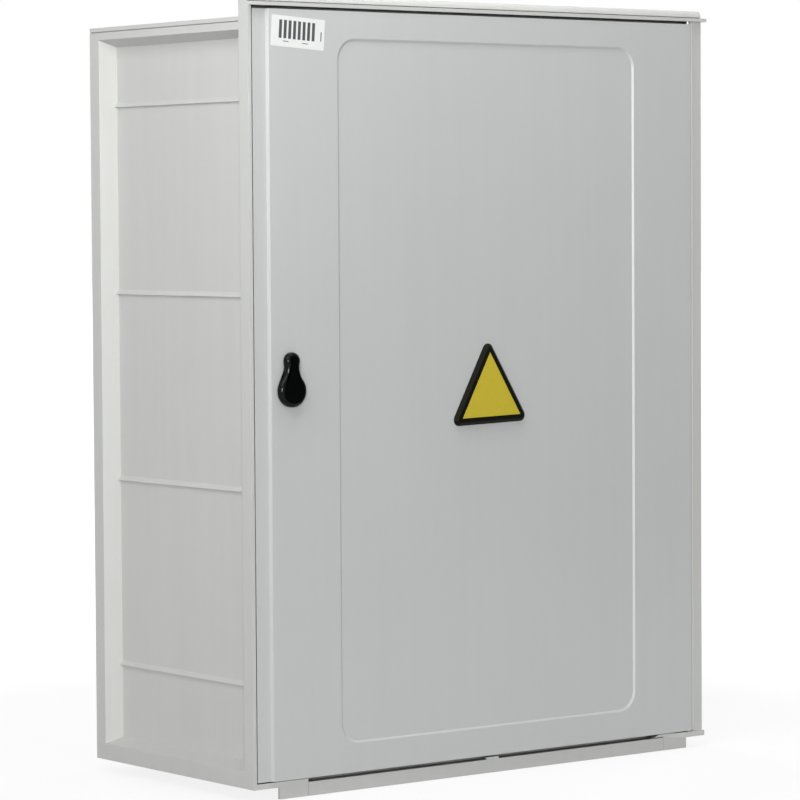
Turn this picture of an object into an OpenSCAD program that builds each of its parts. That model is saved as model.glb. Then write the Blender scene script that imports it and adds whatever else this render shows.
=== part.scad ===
// Wall cabinet for an electricity meter, moulded in glass-fibre polyester.
// Millimetres, +Z up, the front faces -Y and the wall face lies in the plane y = 0.
// The origin is the middle of the four wall-fixing holes.

/* [Cabinet] */
// Width over the front frame
cab_w = 750; // [640:10:900]
// Height from the foot of the frame to the roof
cab_h = 956; // [860:4:1100]
// Depth from the wall face to the front of the frame
cab_d = 356; // [300:2:420]
// Wall thickness of the pressed panels
wall = 4; // [3:0.5:5]
// Height of the roof panel's edge
roof_edge = 6.5; // [6:0.5:9]
// Width of the roof panel's thick edge
roof_rim = 14; // [10:1:20]

/* [Side panels] */
// Depth of the recessed field in each side
side_inset = 22; // [12:1:26]
// Slope run of the walls of that field
side_draft = 9; // [4:1:14]
// Width of the proud border at the back
border_back = 21; // [16:1:30]
// Width of the proud border at the foot
border_foot = 21; // [16:1:30]
// Width of the proud border at the top, roof edge included
border_top = 16; // [14:1:30]
// Height of the lowest rib above the foot
rib_first = 124; // [80:2:180]
// Distance of the highest rib below the roof
rib_last = 103; // [70:1:160]
// Number of ribs on each side
rib_count = 4; // [1:1:4]
// How far a rib stands out of the field
rib_out = 3.5; // [2:0.5:6]
// Height of a rib's sloping top
rib_rise = 8; // [4:1:14]
// Width of the bosses that take the frame's screws
boss_w = 18; // [14:1:24]

/* [Front frame] */
// Depth of the front frame
frame_d = 20; // [18:0.5:26]
// Face width of the left jamb
jamb_w = 5; // [3:0.5:9]
// Face width of the hinge post
post_w = 18.5; // [15:0.5:24]
// Bevel on the hinge post's inner edge
post_bevel = 3; // [1:0.5:4]
// Face height of the foot rail
rail_h = 7; // [6:0.5:9]
// Distance from the frame's side to the doorway
way_side = 34; // [30:1:40]
// Distance from the frame's foot to the doorway
way_foot = 33.5; // [30:0.5:44]
// Distance from the roof to the doorway
way_top = 21; // [19:1:34]
// Height of the hood above the roof
hood_h = 28; // [24:1:50]
// Rounding of the hood's front edge
hood_r = 8; // [3:0.5:8]
// How far the drip lip stands out at the front
lip_out = 6; // [5:0.5:10]
// How far the drip lip stands out at the hinge side
lip_side = 5; // [0:1:8]
// Height of the drip lip
lip_h = 4.5; // [3:0.5:7]
// Width of the lower hinge ear
ear_w = 60; // [50:1:62]
// How far that ear stands out at the front
ear_out = 5; // [4.5:0.5:7]

/* [Apron and vent] */
// How far the apron hangs below the foot
apron_h = 15; // [8:1:24]
// Distance from the frame's left side to the apron
apron_left = 40; // [20:1:60]
// Distance from the frame's right side to the apron
apron_right = 29; // [20:1:60]
// Distance from the frame's left side to the vent slot
vent_left = 84; // [70:1:120]
// Distance from the frame's right side to the vent slot
vent_right = 79; // [66:1:110]
// Distance from the frame's right side to the vent strip
strip_right = 70; // [64:1:100]
// How far the vent slot cuts into the foot rail
vent_drop = 4.5; // [2:0.5:5]
// Run of the slot's sloping right end
vent_slant = 10; // [4:1:16]
// Width of the tab in the middle of the slot
tab_w = 20; // [10:1:40]
// Height of that tab
tab_h = 3; // [1:0.5:4]
// Depth of the vent strip's foot
strip_foot = 12; // [8:1:15]
// Joint line between the vent strip and the frame
joint_gap = 0.3; // [0.2:0.1:0.6]

/* [Door] */
// Gap round the door at the sides and foot
door_gap = 1.5; // [1:0.1:2]
// Gap between the door and the drip lip
lip_gap = 3.7; // [2:0.1:6]
// How far the door rises above the roof
door_over = 9.5; // [6:0.5:14]
// How far the main face stands in front of the frame
door_proud = 5; // [3:0.5:7]
// Width of the lowered strip along the free edge
strip_w = 21.5; // [16:0.5:26]
// Slope run of the step beside that strip
step_run = 1.5; // [0.5:0.5:3]
// Thickness of the door's skin
skin = 3.5; // [2.5:0.5:4]
// Margin of the recessed field at both sides of the main face
field_side = 105; // [95:1:140]
// Margin of the recessed field at the foot
field_foot = 37; // [30:1:60]
// Margin of the recessed field at the top
field_top = 34; // [30:1:60]
// Corner radius of the recessed field
field_r = 27; // [12:1:40]
// Depth of the recessed field
field_deep = 2; // [1.5:0.5:4]
// Slope run of that field's edge
field_slope = 2.5; // [1:0.5:8]
// Stiffening ribs inside the door
door_ribs = 3; // [1:1:5]
// Thickness of the seal
seal_t = 3.6; // [3:0.1:4]
// Width of the seal
seal_w = 4.5; // [4:0.5:5]
// Gap between the resting door and the seal
seal_gap = 0.4; // [0.3:0.1:0.8]

/* [Hinge] */
// Radius of the door's edge round the hinge line
hinge_r = 4.5; // [4:0.5:6]
// Radius of the pivot pins
pin_r = 2.5; // [2:0.1:3]
// How far a pin reaches into the door
pin_reach = 18; // [12:1:24]
// Running clearance of pins and shafts
run_gap = 0.05; // [0.02:0.01:0.08]

/* [Lock] */
// Distance from the frame's left side to the lock
lock_left = 56; // [54:1:60]
// Height of the lock above the foot
lock_up = 494; // [400:1:560]
// Radius of the lock barrel
barrel_r = 11; // [9:0.5:12]
// Radius of the barrel's flange
flange_r = 14; // [12:0.5:16]
// Thickness of the barrel's flange
flange_t = 1.5; // [1:0.1:1.8]
// Radius of the key mouth
mouth_r = 8.5; // [7:0.5:8.5]
// Depth of the key mouth
mouth_deep = 9.5; // [8:0.5:12]
// Radius of the spindle
spindle_r = 4.5; // [3.5:0.1:5]
// Corner radius of the three-sided key end
key_r = 5.5; // [4:0.1:6]
// Radius at which the cam pins turn
cam_r = 11; // [10:0.5:12]
// Radius of a cam pin
cam_pin_r = 2; // [1.5:0.1:2.5]
// Width of a lock rod
rod_w = 9; // [8:0.5:10]
// Thickness of a lock rod
rod_t = 4; // [3:0.5:4]
// Play of a cam pin in its fork
fork_gap = 0.75; // [0.7:0.05:1]
// Play of a rod in its guides
rod_gap = 0.4; // [0.3:0.05:0.6]
// How far a drawn rod stays clear of the doorway's edge
rod_clear = 4; // [3:0.5:6]
// Thickness of the keeper plates
keeper_t = 1.5; // [1:0.1:1.6]

/* [Lock cover] */
// Distance from the cover's pivot to the lock
cover_reach = 37; // [33:0.5:44]
// Radius of the cover's lobe
lobe_r = 20.5; // [19:0.5:24]
// Radius of the cover's head
head_r = 11; // [9:0.5:13]
// Radius of the hollow sides between head and lobe
waist_r = 25; // [18:1:40]
// Height of the cover
cover_h = 8; // [8:0.5:14]
// Rounding of the cover's front edge
cover_round = 5; // [3:0.5:5]
// Wall thickness of the cover
cover_wall = 2.2; // [1.6:0.1:3]
// Gap between the cover and the door
cover_lift = 2.2; // [2.1:0.1:3]

/* [Plaque] */
// Side of the plaque, corners sharp
plaque_side = 129; // [118:1:160]
// Corner radius of the plaque
plaque_r = 8; // [6:0.5:12]
// Thickness of the plaque
plaque_t = 5.5; // [5:0.5:12]
// Slope run of the plaque's edge
plaque_bevel = 4; // [2:0.5:5]
// Side of the coloured face
face_side = 96; // [60:1:98]
// Thickness of the coloured face
face_t = 0.8; // [0.5:0.1:1.5]
// How far the plaque is turned on the door
plaque_turn = 1.5; // [-3:0.5:3]

/* [Wall fixing] */
// Distance from the cabinet's side to the fixing holes
fix_side = 55; // [50:1:58]
// Distance from the cabinet's foot and roof to the fixing holes
fix_end = 48; // [40:1:52]
// Radius of a fixing hole
fix_r = 5.5; // [4:0.5:7]
// Border of the back panel that lies on the wall
back_border = 72; // [66:1:90]
// Depth of the back panel's recessed field
back_inset = 6; // [3:0.5:10]

/* [Cable entries] */
// Number of cable entries in the floor
entry_count = 3; // [1:1:4]
// Distance between them
entry_pitch = 150; // [100:5:160]
// Distance from the wall face to their middle
entry_y = 150; // [110:5:180]
// Inner radius of a grommet
entry_r = 20; // [12:1:25]
// Wall of a grommet
grommet_wall = 4; // [3:0.5:6]
// Radius by which a grommet's flanges stand out
grommet_lip = 5; // [3:0.5:8]
// Thickness of a grommet's flange
grommet_t = 3; // [2:0.5:4]

/* [Mounting panel] */
// Gap between the mounting panel and the side walls
plate_side = 55; // [40:1:70]
// Gap between the mounting panel and the floor
plate_foot = 70; // [60:1:100]
// Gap between the mounting panel and the roof
plate_top = 50; // [40:1:80]
// Thickness of the mounting panel
plate_t = 3; // [2:0.5:5]
// Length of the stand-offs
standoff_l = 33; // [20:1:45]
// Radius of the stand-offs
standoff_r = 8; // [6:0.5:12]
// Distance from the panel's corner to a stand-off
standoff_in = 30; // [28:1:40]
// Radius of the stand-off bolts
bolt_r = 3; // [2.5:0.5:4]

/* [Meter] */
// Width of the meter
meter_w = 170; // [140:2:190]
// Height of the meter
meter_h = 268; // [240:2:300]
// Depth of the meter
meter_d = 76; // [60:2:100]
// Depth of the meter's base
meter_base_d = 20; // [14:1:28]
// Height of the meter's terminal cover
meter_foot_h = 84; // [60:2:100]
// Middle of the meter to the left of the cabinet's middle
meter_left = 128; // [110:2:150]
// Middle of the meter above the cabinet's middle
meter_up = 196; // [160:2:220]
// Corner radius of the meter's mouldings
meter_r = 12; // [6:1:18]
// Wall of the meter's cover
meter_wall = 2.5; // [2:0.5:4]
// Width of the meter's window
window_w = 110; // [80:2:120]
// Height of the meter's window
window_h = 46; // [36:2:56]
// Radius of the meter's button
button_r = 6; // [4:0.5:8]
// Travel of the button
button_travel = 2.5; // [1:0.5:3]

/* [Switchgear] */
// Length of the mounting rail
rail_l = 460; // [420:10:500]
// Distance of the mounting rail below the cabinet's middle
rail_down = 90; // [70:2:110]
// Width of the main switch
switch_w = 72; // [54:2:90]
// Middle of the main switch to the left of the cabinet's middle
switch_left = 128; // [110:2:150]
// Number of fuses
fuse_count = 3; // [1:1:4]
// Distance from fuse to fuse
fuse_pitch = 52; // [48:1:60]
// Middle of the fuses to the right of the cabinet's middle
fuse_right = 132; // [120:2:150]
// Number of rail terminals
term_count = 10; // [4:1:14]
// Width of a rail terminal
term_w = 12; // [8:1:14]
// Middle of the terminals to the right of the cabinet's middle
term_right = 96; // [90:2:110]
// Length of the earth bar
bar_l = 300; // [200:10:360]
// Distance of the earth bar below the cabinet's middle
bar_down = 300; // [270:2:330]
// Number of screws in the earth bar
bar_screw_count = 9; // [4:1:11]

/* [Hidden] */
$fn = 48;
cut = 1;

// Colours as the photo shows them
shell_grey = [0.80, 0.81, 0.80];
door_grey = [0.74, 0.755, 0.755];
cover_black = [0.03, 0.035, 0.035];
plaque_black = [0.05, 0.05, 0.045];
plaque_yellow = [0.80, 0.70, 0.13];
rubber_black = [0.09, 0.09, 0.09];
steel = [0.70, 0.71, 0.72];
zinc = [0.74, 0.74, 0.70];
brass = [0.78, 0.62, 0.30];
board_grey = [0.62, 0.63, 0.62];
meter_white = [0.86, 0.86, 0.84];
gear_grey = [0.55, 0.57, 0.58];
ceramic_white = [0.88, 0.86, 0.80];
display_green = [0.42, 0.48, 0.38];
clear_pane = [0.75, 0.80, 0.82, 0.35];
button_blue = [0.15, 0.30, 0.55];

// Outer limits of the cabinet
x_left = -cab_w / 2;
x_right = cab_w / 2;
z_foot = -cab_h / 2;
z_roof = cab_h / 2;
y_front = -cab_d;
z_sides = z_roof - roof_edge;
seam_h = 1.2;
seam_deep = 1.5;

// Side panels
x_field = x_left + side_inset;
x_inner = x_field + wall;
z_recess_low = z_foot + border_foot;
z_recess_high = z_roof - border_top;
wall_run = wall * sqrt(pow(side_inset, 2) + pow(side_draft, 2)) / side_inset;
flange_z = z_foot + 2 * wall;

// Front frame
y_back = y_front + frame_d;
y_seat = y_back - wall;
way_x0 = x_left + way_side;
way_x1 = x_right - way_side;
way_z0 = z_foot + way_foot;
way_z1 = z_roof - way_top;
z_hood = z_roof + hood_h;
ear_run = 24;
drip_h = 1.5;
drip_deep = 2;

// Door
door_x0 = x_left + jamb_w + door_gap;
door_x1 = x_right - post_w - door_gap;
door_z0 = z_foot + rail_h + door_gap;
door_z1 = z_roof + door_over;
z_lip = door_z1 + lip_gap;
z_drip = z_lip + lip_h;
hood_round = min(hood_r, z_hood - z_drip - drip_h - 0.5);
y_main = y_front - door_proud;
y_rim = y_seat - seal_t - seal_gap;
y_skin = y_main + skin;
step_x = door_x0 + strip_w;
hinge_x = door_x1 - hinge_r;
hinge_y = y_main + hinge_r;
rim_bevel = 2.5;
hinge_block = 16;
pin_floor = 1;
field_x0 = step_x + field_side;
field_x1 = door_x1 - field_side;
field_z0 = door_z0 + field_foot;
field_z1 = door_z1 - field_top;
field_w = field_x1 - field_x0;
field_h = field_z1 - field_z0;
field_mid = [(field_x0 + field_x1) / 2, (field_z0 + field_z1) / 2];
y_field = y_main + field_deep;
door_rib_h = 7;
door_rib_t = 3;

// Lock
lock_x = x_left + lock_left;
lock_z = z_foot + lock_up;
nut_t = 5;
nut_r = 17;
y_flange = y_main - flange_t;
y_mouth = y_flange + mouth_deep;
y_rod = y_back + keeper_t + 0.5;
y_barrel = y_rod - 1;
y_cam = y_rod + rod_t + 0.5;
cam_t = 3;
cam_edge = 4;
pin_side = cam_r * sin(45);
rod_in = spindle_r + 1.5;
rod_mid = rod_in + rod_w / 2;
fork_jaw = 5;
shoulder_r = spindle_r + 2;
shoulder_t = 2;
shoulder_gap = 0.3;
cam_screw_r = 2;
cam_screw_head = 5;
cam_screw_head_t = 3;
cam_screw_l = 10;
guide_wall = 2.5;
guide_h = 12;
guide_near = 100;
guide_far = 70;
keeper_w = rod_w + 8;

// Lock cover
pivot_z = lock_z + cover_reach;
y_cover = y_main - cover_lift;
cover_pin_r = 2.5;
cover_pin_in = cover_h - 3;
cover_pin_gap = 0.5;
cover_foot_r = 5;
cover_foot_gap = 0.3;
push_nut_r = 6;
push_nut_t = 2.5;

// Plaque
plaque_z = (z_foot + z_roof) / 2;
plaque_arm = plaque_side / sqrt(3) - 2 * plaque_r;
face_arm = face_side / sqrt(3);

// Mounting panel
y_plate_back = -wall - back_inset - standoff_l;
y_plate = y_plate_back - plate_t;
plate_x0 = x_inner + plate_side;
plate_x1 = -plate_x0;
plate_z0 = z_foot + wall + plate_foot;
plate_z1 = z_sides - plate_top;
standoff_x = plate_x1 - standoff_in;
standoff_z = [plate_z0 + standoff_in, plate_z1 - standoff_in];
bolt_head_r = 2 * bolt_r;
bolt_head_t = 1.6 * bolt_r;

// Meter
meter_x = -meter_left;
meter_foot = meter_up - meter_h / 2;
meter_split = meter_foot + meter_foot_h;
meter_top = meter_foot + meter_h;
y_meter_base = y_plate - meter_base_d;
y_meter = y_plate - meter_d;
meter_rim = 3;
window_z = meter_split + (meter_h - meter_foot_h) * 0.66;
button_z = meter_split + (meter_h - meter_foot_h) * 0.28;
pane_t = 2;
pane_lap = 4;
button_head = 3.2;
button_gap = 0.3;
button_collar = 1.5;
button_collar_t = 2;
guide_post = 2;
meter_screw_r = 4;
meter_screw_in = 16;

// Switchgear
din_w = 35;
din_flat = 27;
din_t = 1;
din_h = 7.5;
din_slot_l = 15;
din_slot_w = 6.2;
din_slot_pitch = 25;
din_slots = floor((rail_l - 2 * din_w) / din_slot_pitch);
din_z = -rail_down;
y_din = y_plate - din_h;
gear_h = 84;
gear_low = 45;
gear_nose = 22;
gear_d = 58;
gear_gap = 0.3;
toggle_r = 7;
toggle_w = 50;
toggle_arm = 13;
toggle_t = 5;
toggle_angle = 25;
toggle_gap = 0.4;
toggle_pin_r = 2;
fuse_z = meter_up;
fuse_w = 40;
fuse_h = 120;
fuse_base_t = 16;
fuse_jaw = 26;
fuse_jaw_h = 22;
fuse_floor = 4;
fuse_body = 30;
fuse_blade_t = 6;
fuse_grip = 8;
screw_r = 1.6;
screw_head_r = 3.4;
screw_head_t = 2.2;
screw_l = 14;
sink_r = 4.5;
sink_h = 2.9;
frame_screw_in = 4.5;
bar_h = 20;
bar_t = 5;
insulator_r = 12;
insulator_l = 26;
bar_screw_r = 3;
bar_screw_in = 22;

// Places of the repeated fasteners
frame_screw_zs = [for (i = [-1:1]) i * cab_h * 0.36];
frame_screw_xs = [for (i = [-1:1]) i * cab_w * 0.28];
back_screw_zs = [for (i = [-1, -0.33, 0.33, 1]) i * cab_h * 0.42];
floor_screw_ys = [for (i = [0.2, 0.5, 0.8]) y_back * i];
rib_pitch = (cab_h - rib_first - rib_last) / max(rib_count - 1, 1);
function rib_z(i) = z_foot + rib_first + i * rib_pitch;

// Block between two opposite corners
module block(a, b) {
    translate(a) cube(b - a);
}

// Cylinder that starts at p and runs along +Y
module along_y(p, r, h) {
    translate(p) rotate([-90, 0, 0]) cylinder(r = r, h = h);
}

// Cylinder that starts at p and runs along +X
module along_x(p, r, h) {
    translate(p) rotate([0, 90, 0]) cylinder(r = r, h = h);
}

// Cone that starts at p with radius r1 and runs along +Y to radius r2
module cone_y(p, r1, r2, h) {
    translate(p) rotate([-90, 0, 0]) cylinder(r1 = r1, r2 = r2, h = h);
}

// Rectangle with round corners, centred
module rounded(w, h, r) {
    square([w - 2 * r, h], center = true);
    square([w, h - 2 * r], center = true);
    for (sx = [-1, 1], sy = [-1, 1])
        translate([sx * (w / 2 - r), sy * (h / 2 - r)]) circle(r);
}

// Upright plate with round corners, its middle at p, its back t behind
module plate(p, w, h, t, r) {
    translate([p[0], p[1] + t, p[2]]) rotate([90, 0, 0]) linear_extrude(t) rounded(w, h, r);
}

// Outline in the x-z plane, swept from y0 to y1
module sweep_y(y0, y1) {
    translate([0, y1, 0]) rotate([90, 0, 0]) linear_extrude(y1 - y0) children();
}

// Outline in the y-z plane, swept from x0 to x1
module sweep_x(x0, x1) {
    translate([x0, 0, 0]) rotate([90, 0, 90]) linear_extrude(x1 - x0) children();
}

// Outline in the x-y plane, swept from z0 to z1
module sweep_z(z0, z1) {
    translate([0, 0, z0]) linear_extrude(z1 - z0) children();
}

// Pan-head screw whose head sits on the plane y = p.y and whose shank runs along +Y
module pan_screw(p, r, l) {
    head_r = r * screw_head_r / screw_r;
    head_t = r * screw_head_t / screw_r;
    cone_y([p[0], p[1] - head_t, p[2]], head_r * 0.75, head_r, head_t);
    along_y([p[0], p[1] - 0.01, p[2]], r, l);
}

// Recess in the left side panel, its walls moved out by grow
module side_recess(grow) {
    run = grow > 0 ? wall_run : 0;
    deep = x_field + grow;
    slope = side_draft * (side_inset + grow) / side_inset;
    z_low = z_recess_low - run;
    z_high = z_recess_high + run;
    y_end = -border_back + run;
    intersection() {
        sweep_y(y_back - cut, 0)
            polygon([[x_left - cut, z_low], [x_left, z_low], [deep, z_low + slope],
                [deep, z_high - slope], [x_left, z_high], [x_left - cut, z_high]]);
        sweep_z(z_foot, z_roof)
            polygon([[x_left - cut, y_back - cut], [deep, y_back - cut], [deep, y_end - slope],
                [x_left, y_end], [x_left - cut, y_end]]);
    }
}

// Triangular rib across the recessed field
module side_rib(z) {
    sweep_y(y_back, -border_back - side_draft + rib_out / 2)
        polygon([[x_field + cut, z], [x_field - rib_out, z], [x_field + cut, z + rib_rise]]);
}

// Pressed side panel, drawn for the left side
module side_panel() {
    difference() {
        union() {
            difference() {
                block([x_left, y_back, z_foot], [x_inner, 0, z_sides]);
                side_recess(0);
                difference() {
                    block([x_left + wall, y_back - cut, flange_z],
                        [x_inner + cut, -2 * wall, z_sides - wall]);
                    side_recess(wall);
                }
                block([x_left + wall, -wall, z_foot - cut], [x_inner + cut, cut, z_roof]);
                block([x_left + wall, y_back - cut, z_foot - cut], [x_inner + cut, cut, z_foot + wall]);
            }
            for (i = [0:rib_count - 1]) side_rib(rib_z(i));
            for (z = frame_screw_zs)
                block([x_field + cut, y_back, z - boss_w / 2], [way_x0, y_back + boss_w, z + boss_w / 2]);
        }
        for (z = frame_screw_zs)
            along_y([way_x0 - frame_screw_in, y_back - cut, z], screw_r, screw_l);
        for (z = back_screw_zs)
            along_y([x_left + side_inset / 2 + wall / 2, -2 * wall - cut, z], screw_r, 2 * wall + 2 * cut);
        for (y = floor_screw_ys)
            translate([x_left + side_inset / 2 + wall / 2, y, z_foot])
                cylinder(r = screw_r, h = 2 * wall + cut);
    }
}

module side_panel_left() {
    color(shell_grey) side_panel();
}

module side_panel_right() {
    color(shell_grey) mirror([1, 0, 0]) side_panel();
}

// Places of the flush screws that hold the back and floor panels
module each_back_screw() {
    for (sx = [-1, 1], z = back_screw_zs)
        translate([sx * (x_right - side_inset / 2 - wall / 2), 0, z]) rotate([90, 0, 0]) children();
}

module each_floor_screw() {
    for (sx = [-1, 1], y = floor_screw_ys)
        translate([sx * (x_right - side_inset / 2 - wall / 2), y, z_foot]) children();
}

// Flush screw along +Z, its face at z = 0
module flush_screw() {
    cylinder(r1 = sink_r, r2 = screw_r, h = sink_h);
    cylinder(r = screw_r, h = 2 * wall);
}

module panel_screws() {
    color(zinc) {
        each_back_screw() flush_screw();
        each_floor_screw() flush_screw();
    }
}

// Four places of the wall-fixing holes
module each_fixing() {
    for (sx = [-1, 1], sz = [-1, 1])
        translate([sx * (cab_w / 2 - fix_side), 0, sz * (cab_h / 2 - fix_end)]) children();
}

module back_panel() {
    field_x = cab_w / 2 - back_border;
    field_top = z_sides - back_border;
    field_low = z_foot + back_border;
    color(shell_grey) difference() {
        union() {
            block([x_left + wall, -wall, z_foot], [x_right - wall, 0, z_sides]);
            block([-field_x - wall, -wall - back_inset, field_low - wall],
                [field_x + wall, -wall / 2, field_top + wall]);
        }
        block([-field_x, -back_inset, field_low], [field_x, cut, field_top]);
        each_fixing() along_y([0, -wall - back_inset - cut, 0], fix_r, wall + back_inset + 2 * cut);
        each_back_screw() flush_screw();
        for (sx = [-1, 1], z = standoff_z)
            along_y([sx * standoff_x, -wall - back_inset - cut, z], bolt_r, wall + 2 * cut);
    }
}

module roof_panel() {
    color(shell_grey) difference() {
        block([x_left, y_back, z_sides], [x_right, 0, z_roof]);
        block([x_inner + roof_rim, y_back + roof_rim, z_sides - cut],
            [-x_inner - roof_rim, -roof_rim, z_roof - wall]);
        for (x = [x_left - cut, x_right - seam_deep])
            block([x, y_back - cut, z_sides - cut], [x + seam_deep + cut, cut, z_sides + seam_h]);
        for (x = frame_screw_xs)
            along_y([x, y_back - cut, (z_sides + z_roof) / 2], screw_r, screw_l - wall + cut);
    }
}

// Places of the cable entries
module each_entry() {
    for (i = [0:entry_count - 1])
        translate([(i - (entry_count - 1) / 2) * entry_pitch, -entry_y, z_foot]) children();
}

module floor_panel() {
    boss_low = z_foot + wall / 2;
    screw_z = way_z0 - frame_screw_in - screw_head_r;
    color(shell_grey) difference() {
        union() {
            block([x_left + wall, y_back, z_foot], [x_right - wall, -wall, z_foot + wall]);
            for (x = frame_screw_xs)
                block([x - boss_w / 2, y_back, boss_low], [x + boss_w / 2, y_back + boss_w, way_z0]);
        }
        for (x = frame_screw_xs) along_y([x, y_back - cut, screw_z], screw_r, screw_l);
        each_floor_screw() flush_screw();
        each_entry() translate([0, 0, -cut]) cylinder(r = entry_r + grommet_wall, h = wall + 2 * cut);
    }
}

module cable_grommets() {
    outer = entry_r + grommet_wall;
    color(rubber_black) each_entry() rotate_extrude() polygon([
        [entry_r, -grommet_t], [outer + grommet_lip, -grommet_t], [outer + grommet_lip, 0], [outer, 0],
        [outer, wall], [outer + grommet_lip, wall], [outer + grommet_lip / 2, wall + grommet_t],
        [entry_r, wall + grommet_t]]);
}

// Section of the hood above the door, in the y-z plane, with a drip groove over the lip
module hood_section() {
    y_round = y_front + hood_round;
    z_round = z_hood - hood_round;
    polygon([[y_front, z_lip], [y_front, z_drip], [y_front + drip_deep, z_drip],
        [y_front + drip_deep, z_drip + drip_h], [y_front, z_drip + drip_h], [y_front, z_round],
        [y_round, z_round], [y_round, z_hood], [y_back, z_hood], [y_back, z_lip]]);
    intersection() {
        translate([y_round, z_round]) circle(hood_round);
        translate([y_front, z_round]) square(hood_round);
    }
}

module hood_hollow() {
    y_in = y_front + drip_deep + wall;
    bend = max(hood_round - wall, 0.1);
    top = z_hood - wall;
    polygon([[y_in, z_drip], [y_in, top - bend], [y_in + bend, top], [y_back + cut, top],
        [y_back + cut, z_drip]]);
}

// Lower hinge ear, which slopes out of the foot rail
module hinge_ear() {
    x0 = x_right - ear_w;
    sweep_z(z_foot, z_foot + rail_h)
        polygon([[x0, y_front + wall], [x0, y_front], [x0 + ear_run, y_front - ear_out],
            [x_right, y_front - ear_out], [x_right, y_front + wall]]);
}

// Outline of the ventilation slot in the foot rail
module vent_outline() {
    high = z_foot + rail_h;
    low = high - vent_drop;
    x0 = x_left + vent_left;
    x1 = x_right - vent_right;
    polygon([[x0, high + cut], [x0, low], [x1 - vent_slant, low], [x1, high], [x1, high + cut]]);
}

module front_frame() {
    strip_x0 = x_left + vent_left;
    strip_x1 = x_right - strip_right;
    rail_z = z_foot + rail_h;
    post_x = x_right - post_w;
    color(shell_grey) difference() {
        union() {
            block([x_left, y_front, z_foot], [x_right, y_back, z_drip]);
            sweep_x(x_left, x_right) hood_section();
            block([x_left, y_front - lip_out, z_lip], [x_right + lip_side, y_front + wall, z_drip]);
            hinge_ear();
            block([x_left + apron_left, y_front, z_foot - apron_h],
                [x_right - apron_right, y_front + wall, z_foot + cut]);
        }
        block([x_left + jamb_w, y_front - cut, rail_z], [post_x, y_seat, z_lip]);
        block([way_x0, y_seat - cut, way_z0], [way_x1, y_back + cut, way_z1]);
        sweep_z(rail_z, z_lip)
            polygon([[post_x - cut, y_front - cut], [post_x + post_bevel + cut, y_front - cut],
                [post_x - cut, y_front + post_bevel + cut]]);
        sweep_x(x_left + wall, x_right - wall) hood_hollow();
        block([post_x + wall, y_front + wall, rail_z + wall], [x_right - wall, y_back + cut, z_lip - wall]);
        sweep_y(y_front - ear_out - cut, y_seat) vent_outline();
        block([strip_x0, y_front - cut, z_foot - apron_h - cut],
            [strip_x1, y_front + wall, rail_z - vent_drop + cut]);
        translate([hinge_x, hinge_y, z_foot + pin_floor]) cylinder(r = pin_r, h = rail_h);
        translate([hinge_x, hinge_y, z_lip - cut]) cylinder(r = pin_r, h = lip_h - pin_floor + cut);
        for (sx = [-1, 1], z = frame_screw_zs)
            along_y([sx * (way_x1 + frame_screw_in), y_seat - cut, z], screw_r, wall + 2 * cut);
        for (x = frame_screw_xs) {
            along_y([x, y_seat - cut, (z_sides + z_roof) / 2], screw_r, wall + 2 * cut);
            along_y([x, y_seat - cut, way_z0 - frame_screw_in - screw_head_r], screw_r, wall + 2 * cut);
        }
    }
}

module vent_strip() {
    x0 = x_left + vent_left + joint_gap;
    x1 = x_right - strip_right - joint_gap;
    top = z_foot + rail_h - vent_drop;
    low = z_foot - apron_h;
    mid = (x0 + x1) / 2;
    color(shell_grey) {
        block([x0, y_front, low], [x1, y_front + wall, top]);
        block([x0, y_front, low], [x1, y_front + strip_foot, low + wall]);
        block([mid - tab_w / 2, y_front, top - cut], [mid + tab_w / 2, y_front + wall, top + tab_h]);
        for (x = [x0 + tab_w, x1 - 2 * tab_w])
            block([x, y_front, low], [x + tab_w, y_front + strip_foot, z_foot]);
    }
}

module door_seal() {
    w = door_x1 - door_x0 - 2;
    h = door_z1 - door_z0 - 2;
    mid = [(door_x0 + door_x1) / 2, y_seat - seal_t, (door_z0 + door_z1) / 2];
    color(rubber_black) difference() {
        plate(mid, w, h, seal_t, seal_w);
        plate(mid - [0, cut, 0], w - 2 * seal_w, h - 2 * seal_w, seal_t + 2 * cut, seal_w / 2);
    }
}

module frame_screws() {
    color(zinc) {
        for (sx = [-1, 1], z = frame_screw_zs)
            pan_screw([sx * (way_x1 + frame_screw_in), y_seat, z], screw_r, screw_l);
        for (x = frame_screw_xs) {
            pan_screw([x, y_seat, (z_sides + z_roof) / 2], screw_r, screw_l);
            pan_screw([x, y_seat, way_z0 - frame_screw_in - screw_head_r], screw_r, screw_l);
        }
    }
}

module hinge_pins() {
    low = z_foot + pin_floor;
    high = z_drip - pin_floor;
    color(steel) {
        translate([hinge_x, hinge_y, low]) cylinder(r = pin_r, h = door_z0 + pin_reach - low);
        translate([hinge_x, hinge_y, door_z1 - pin_reach])
            cylinder(r = pin_r, h = high - door_z1 + pin_reach);
    }
}

// Places of the two keeper plates behind the frame
module rod_keepers() {
    color(steel) {
        block([lock_x + rod_mid - keeper_w / 2, y_back, way_z1],
            [lock_x + rod_mid + keeper_w / 2, y_back + keeper_t, z_sides]);
        block([lock_x - rod_mid - keeper_w / 2, y_back, z_foot + wall],
            [lock_x - rod_mid + keeper_w / 2, y_back + keeper_t, way_z0]);
    }
}

// Bolts, stand-offs and the panel share these places
module each_standoff() {
    for (sx = [-1, 1], z = standoff_z) translate([sx * standoff_x, 0, z]) children();
}

module mounting_panel() {
    h = plate_z1 - plate_z0;
    mid = [0, y_plate, (plate_z0 + plate_z1) / 2];
    color(board_grey) difference() {
        plate(mid, plate_x1 - plate_x0, h, plate_t, standoff_in / 2);
        each_standoff() along_y([0, y_plate - cut, 0], bolt_r, plate_t + 2 * cut);
    }
}

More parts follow.
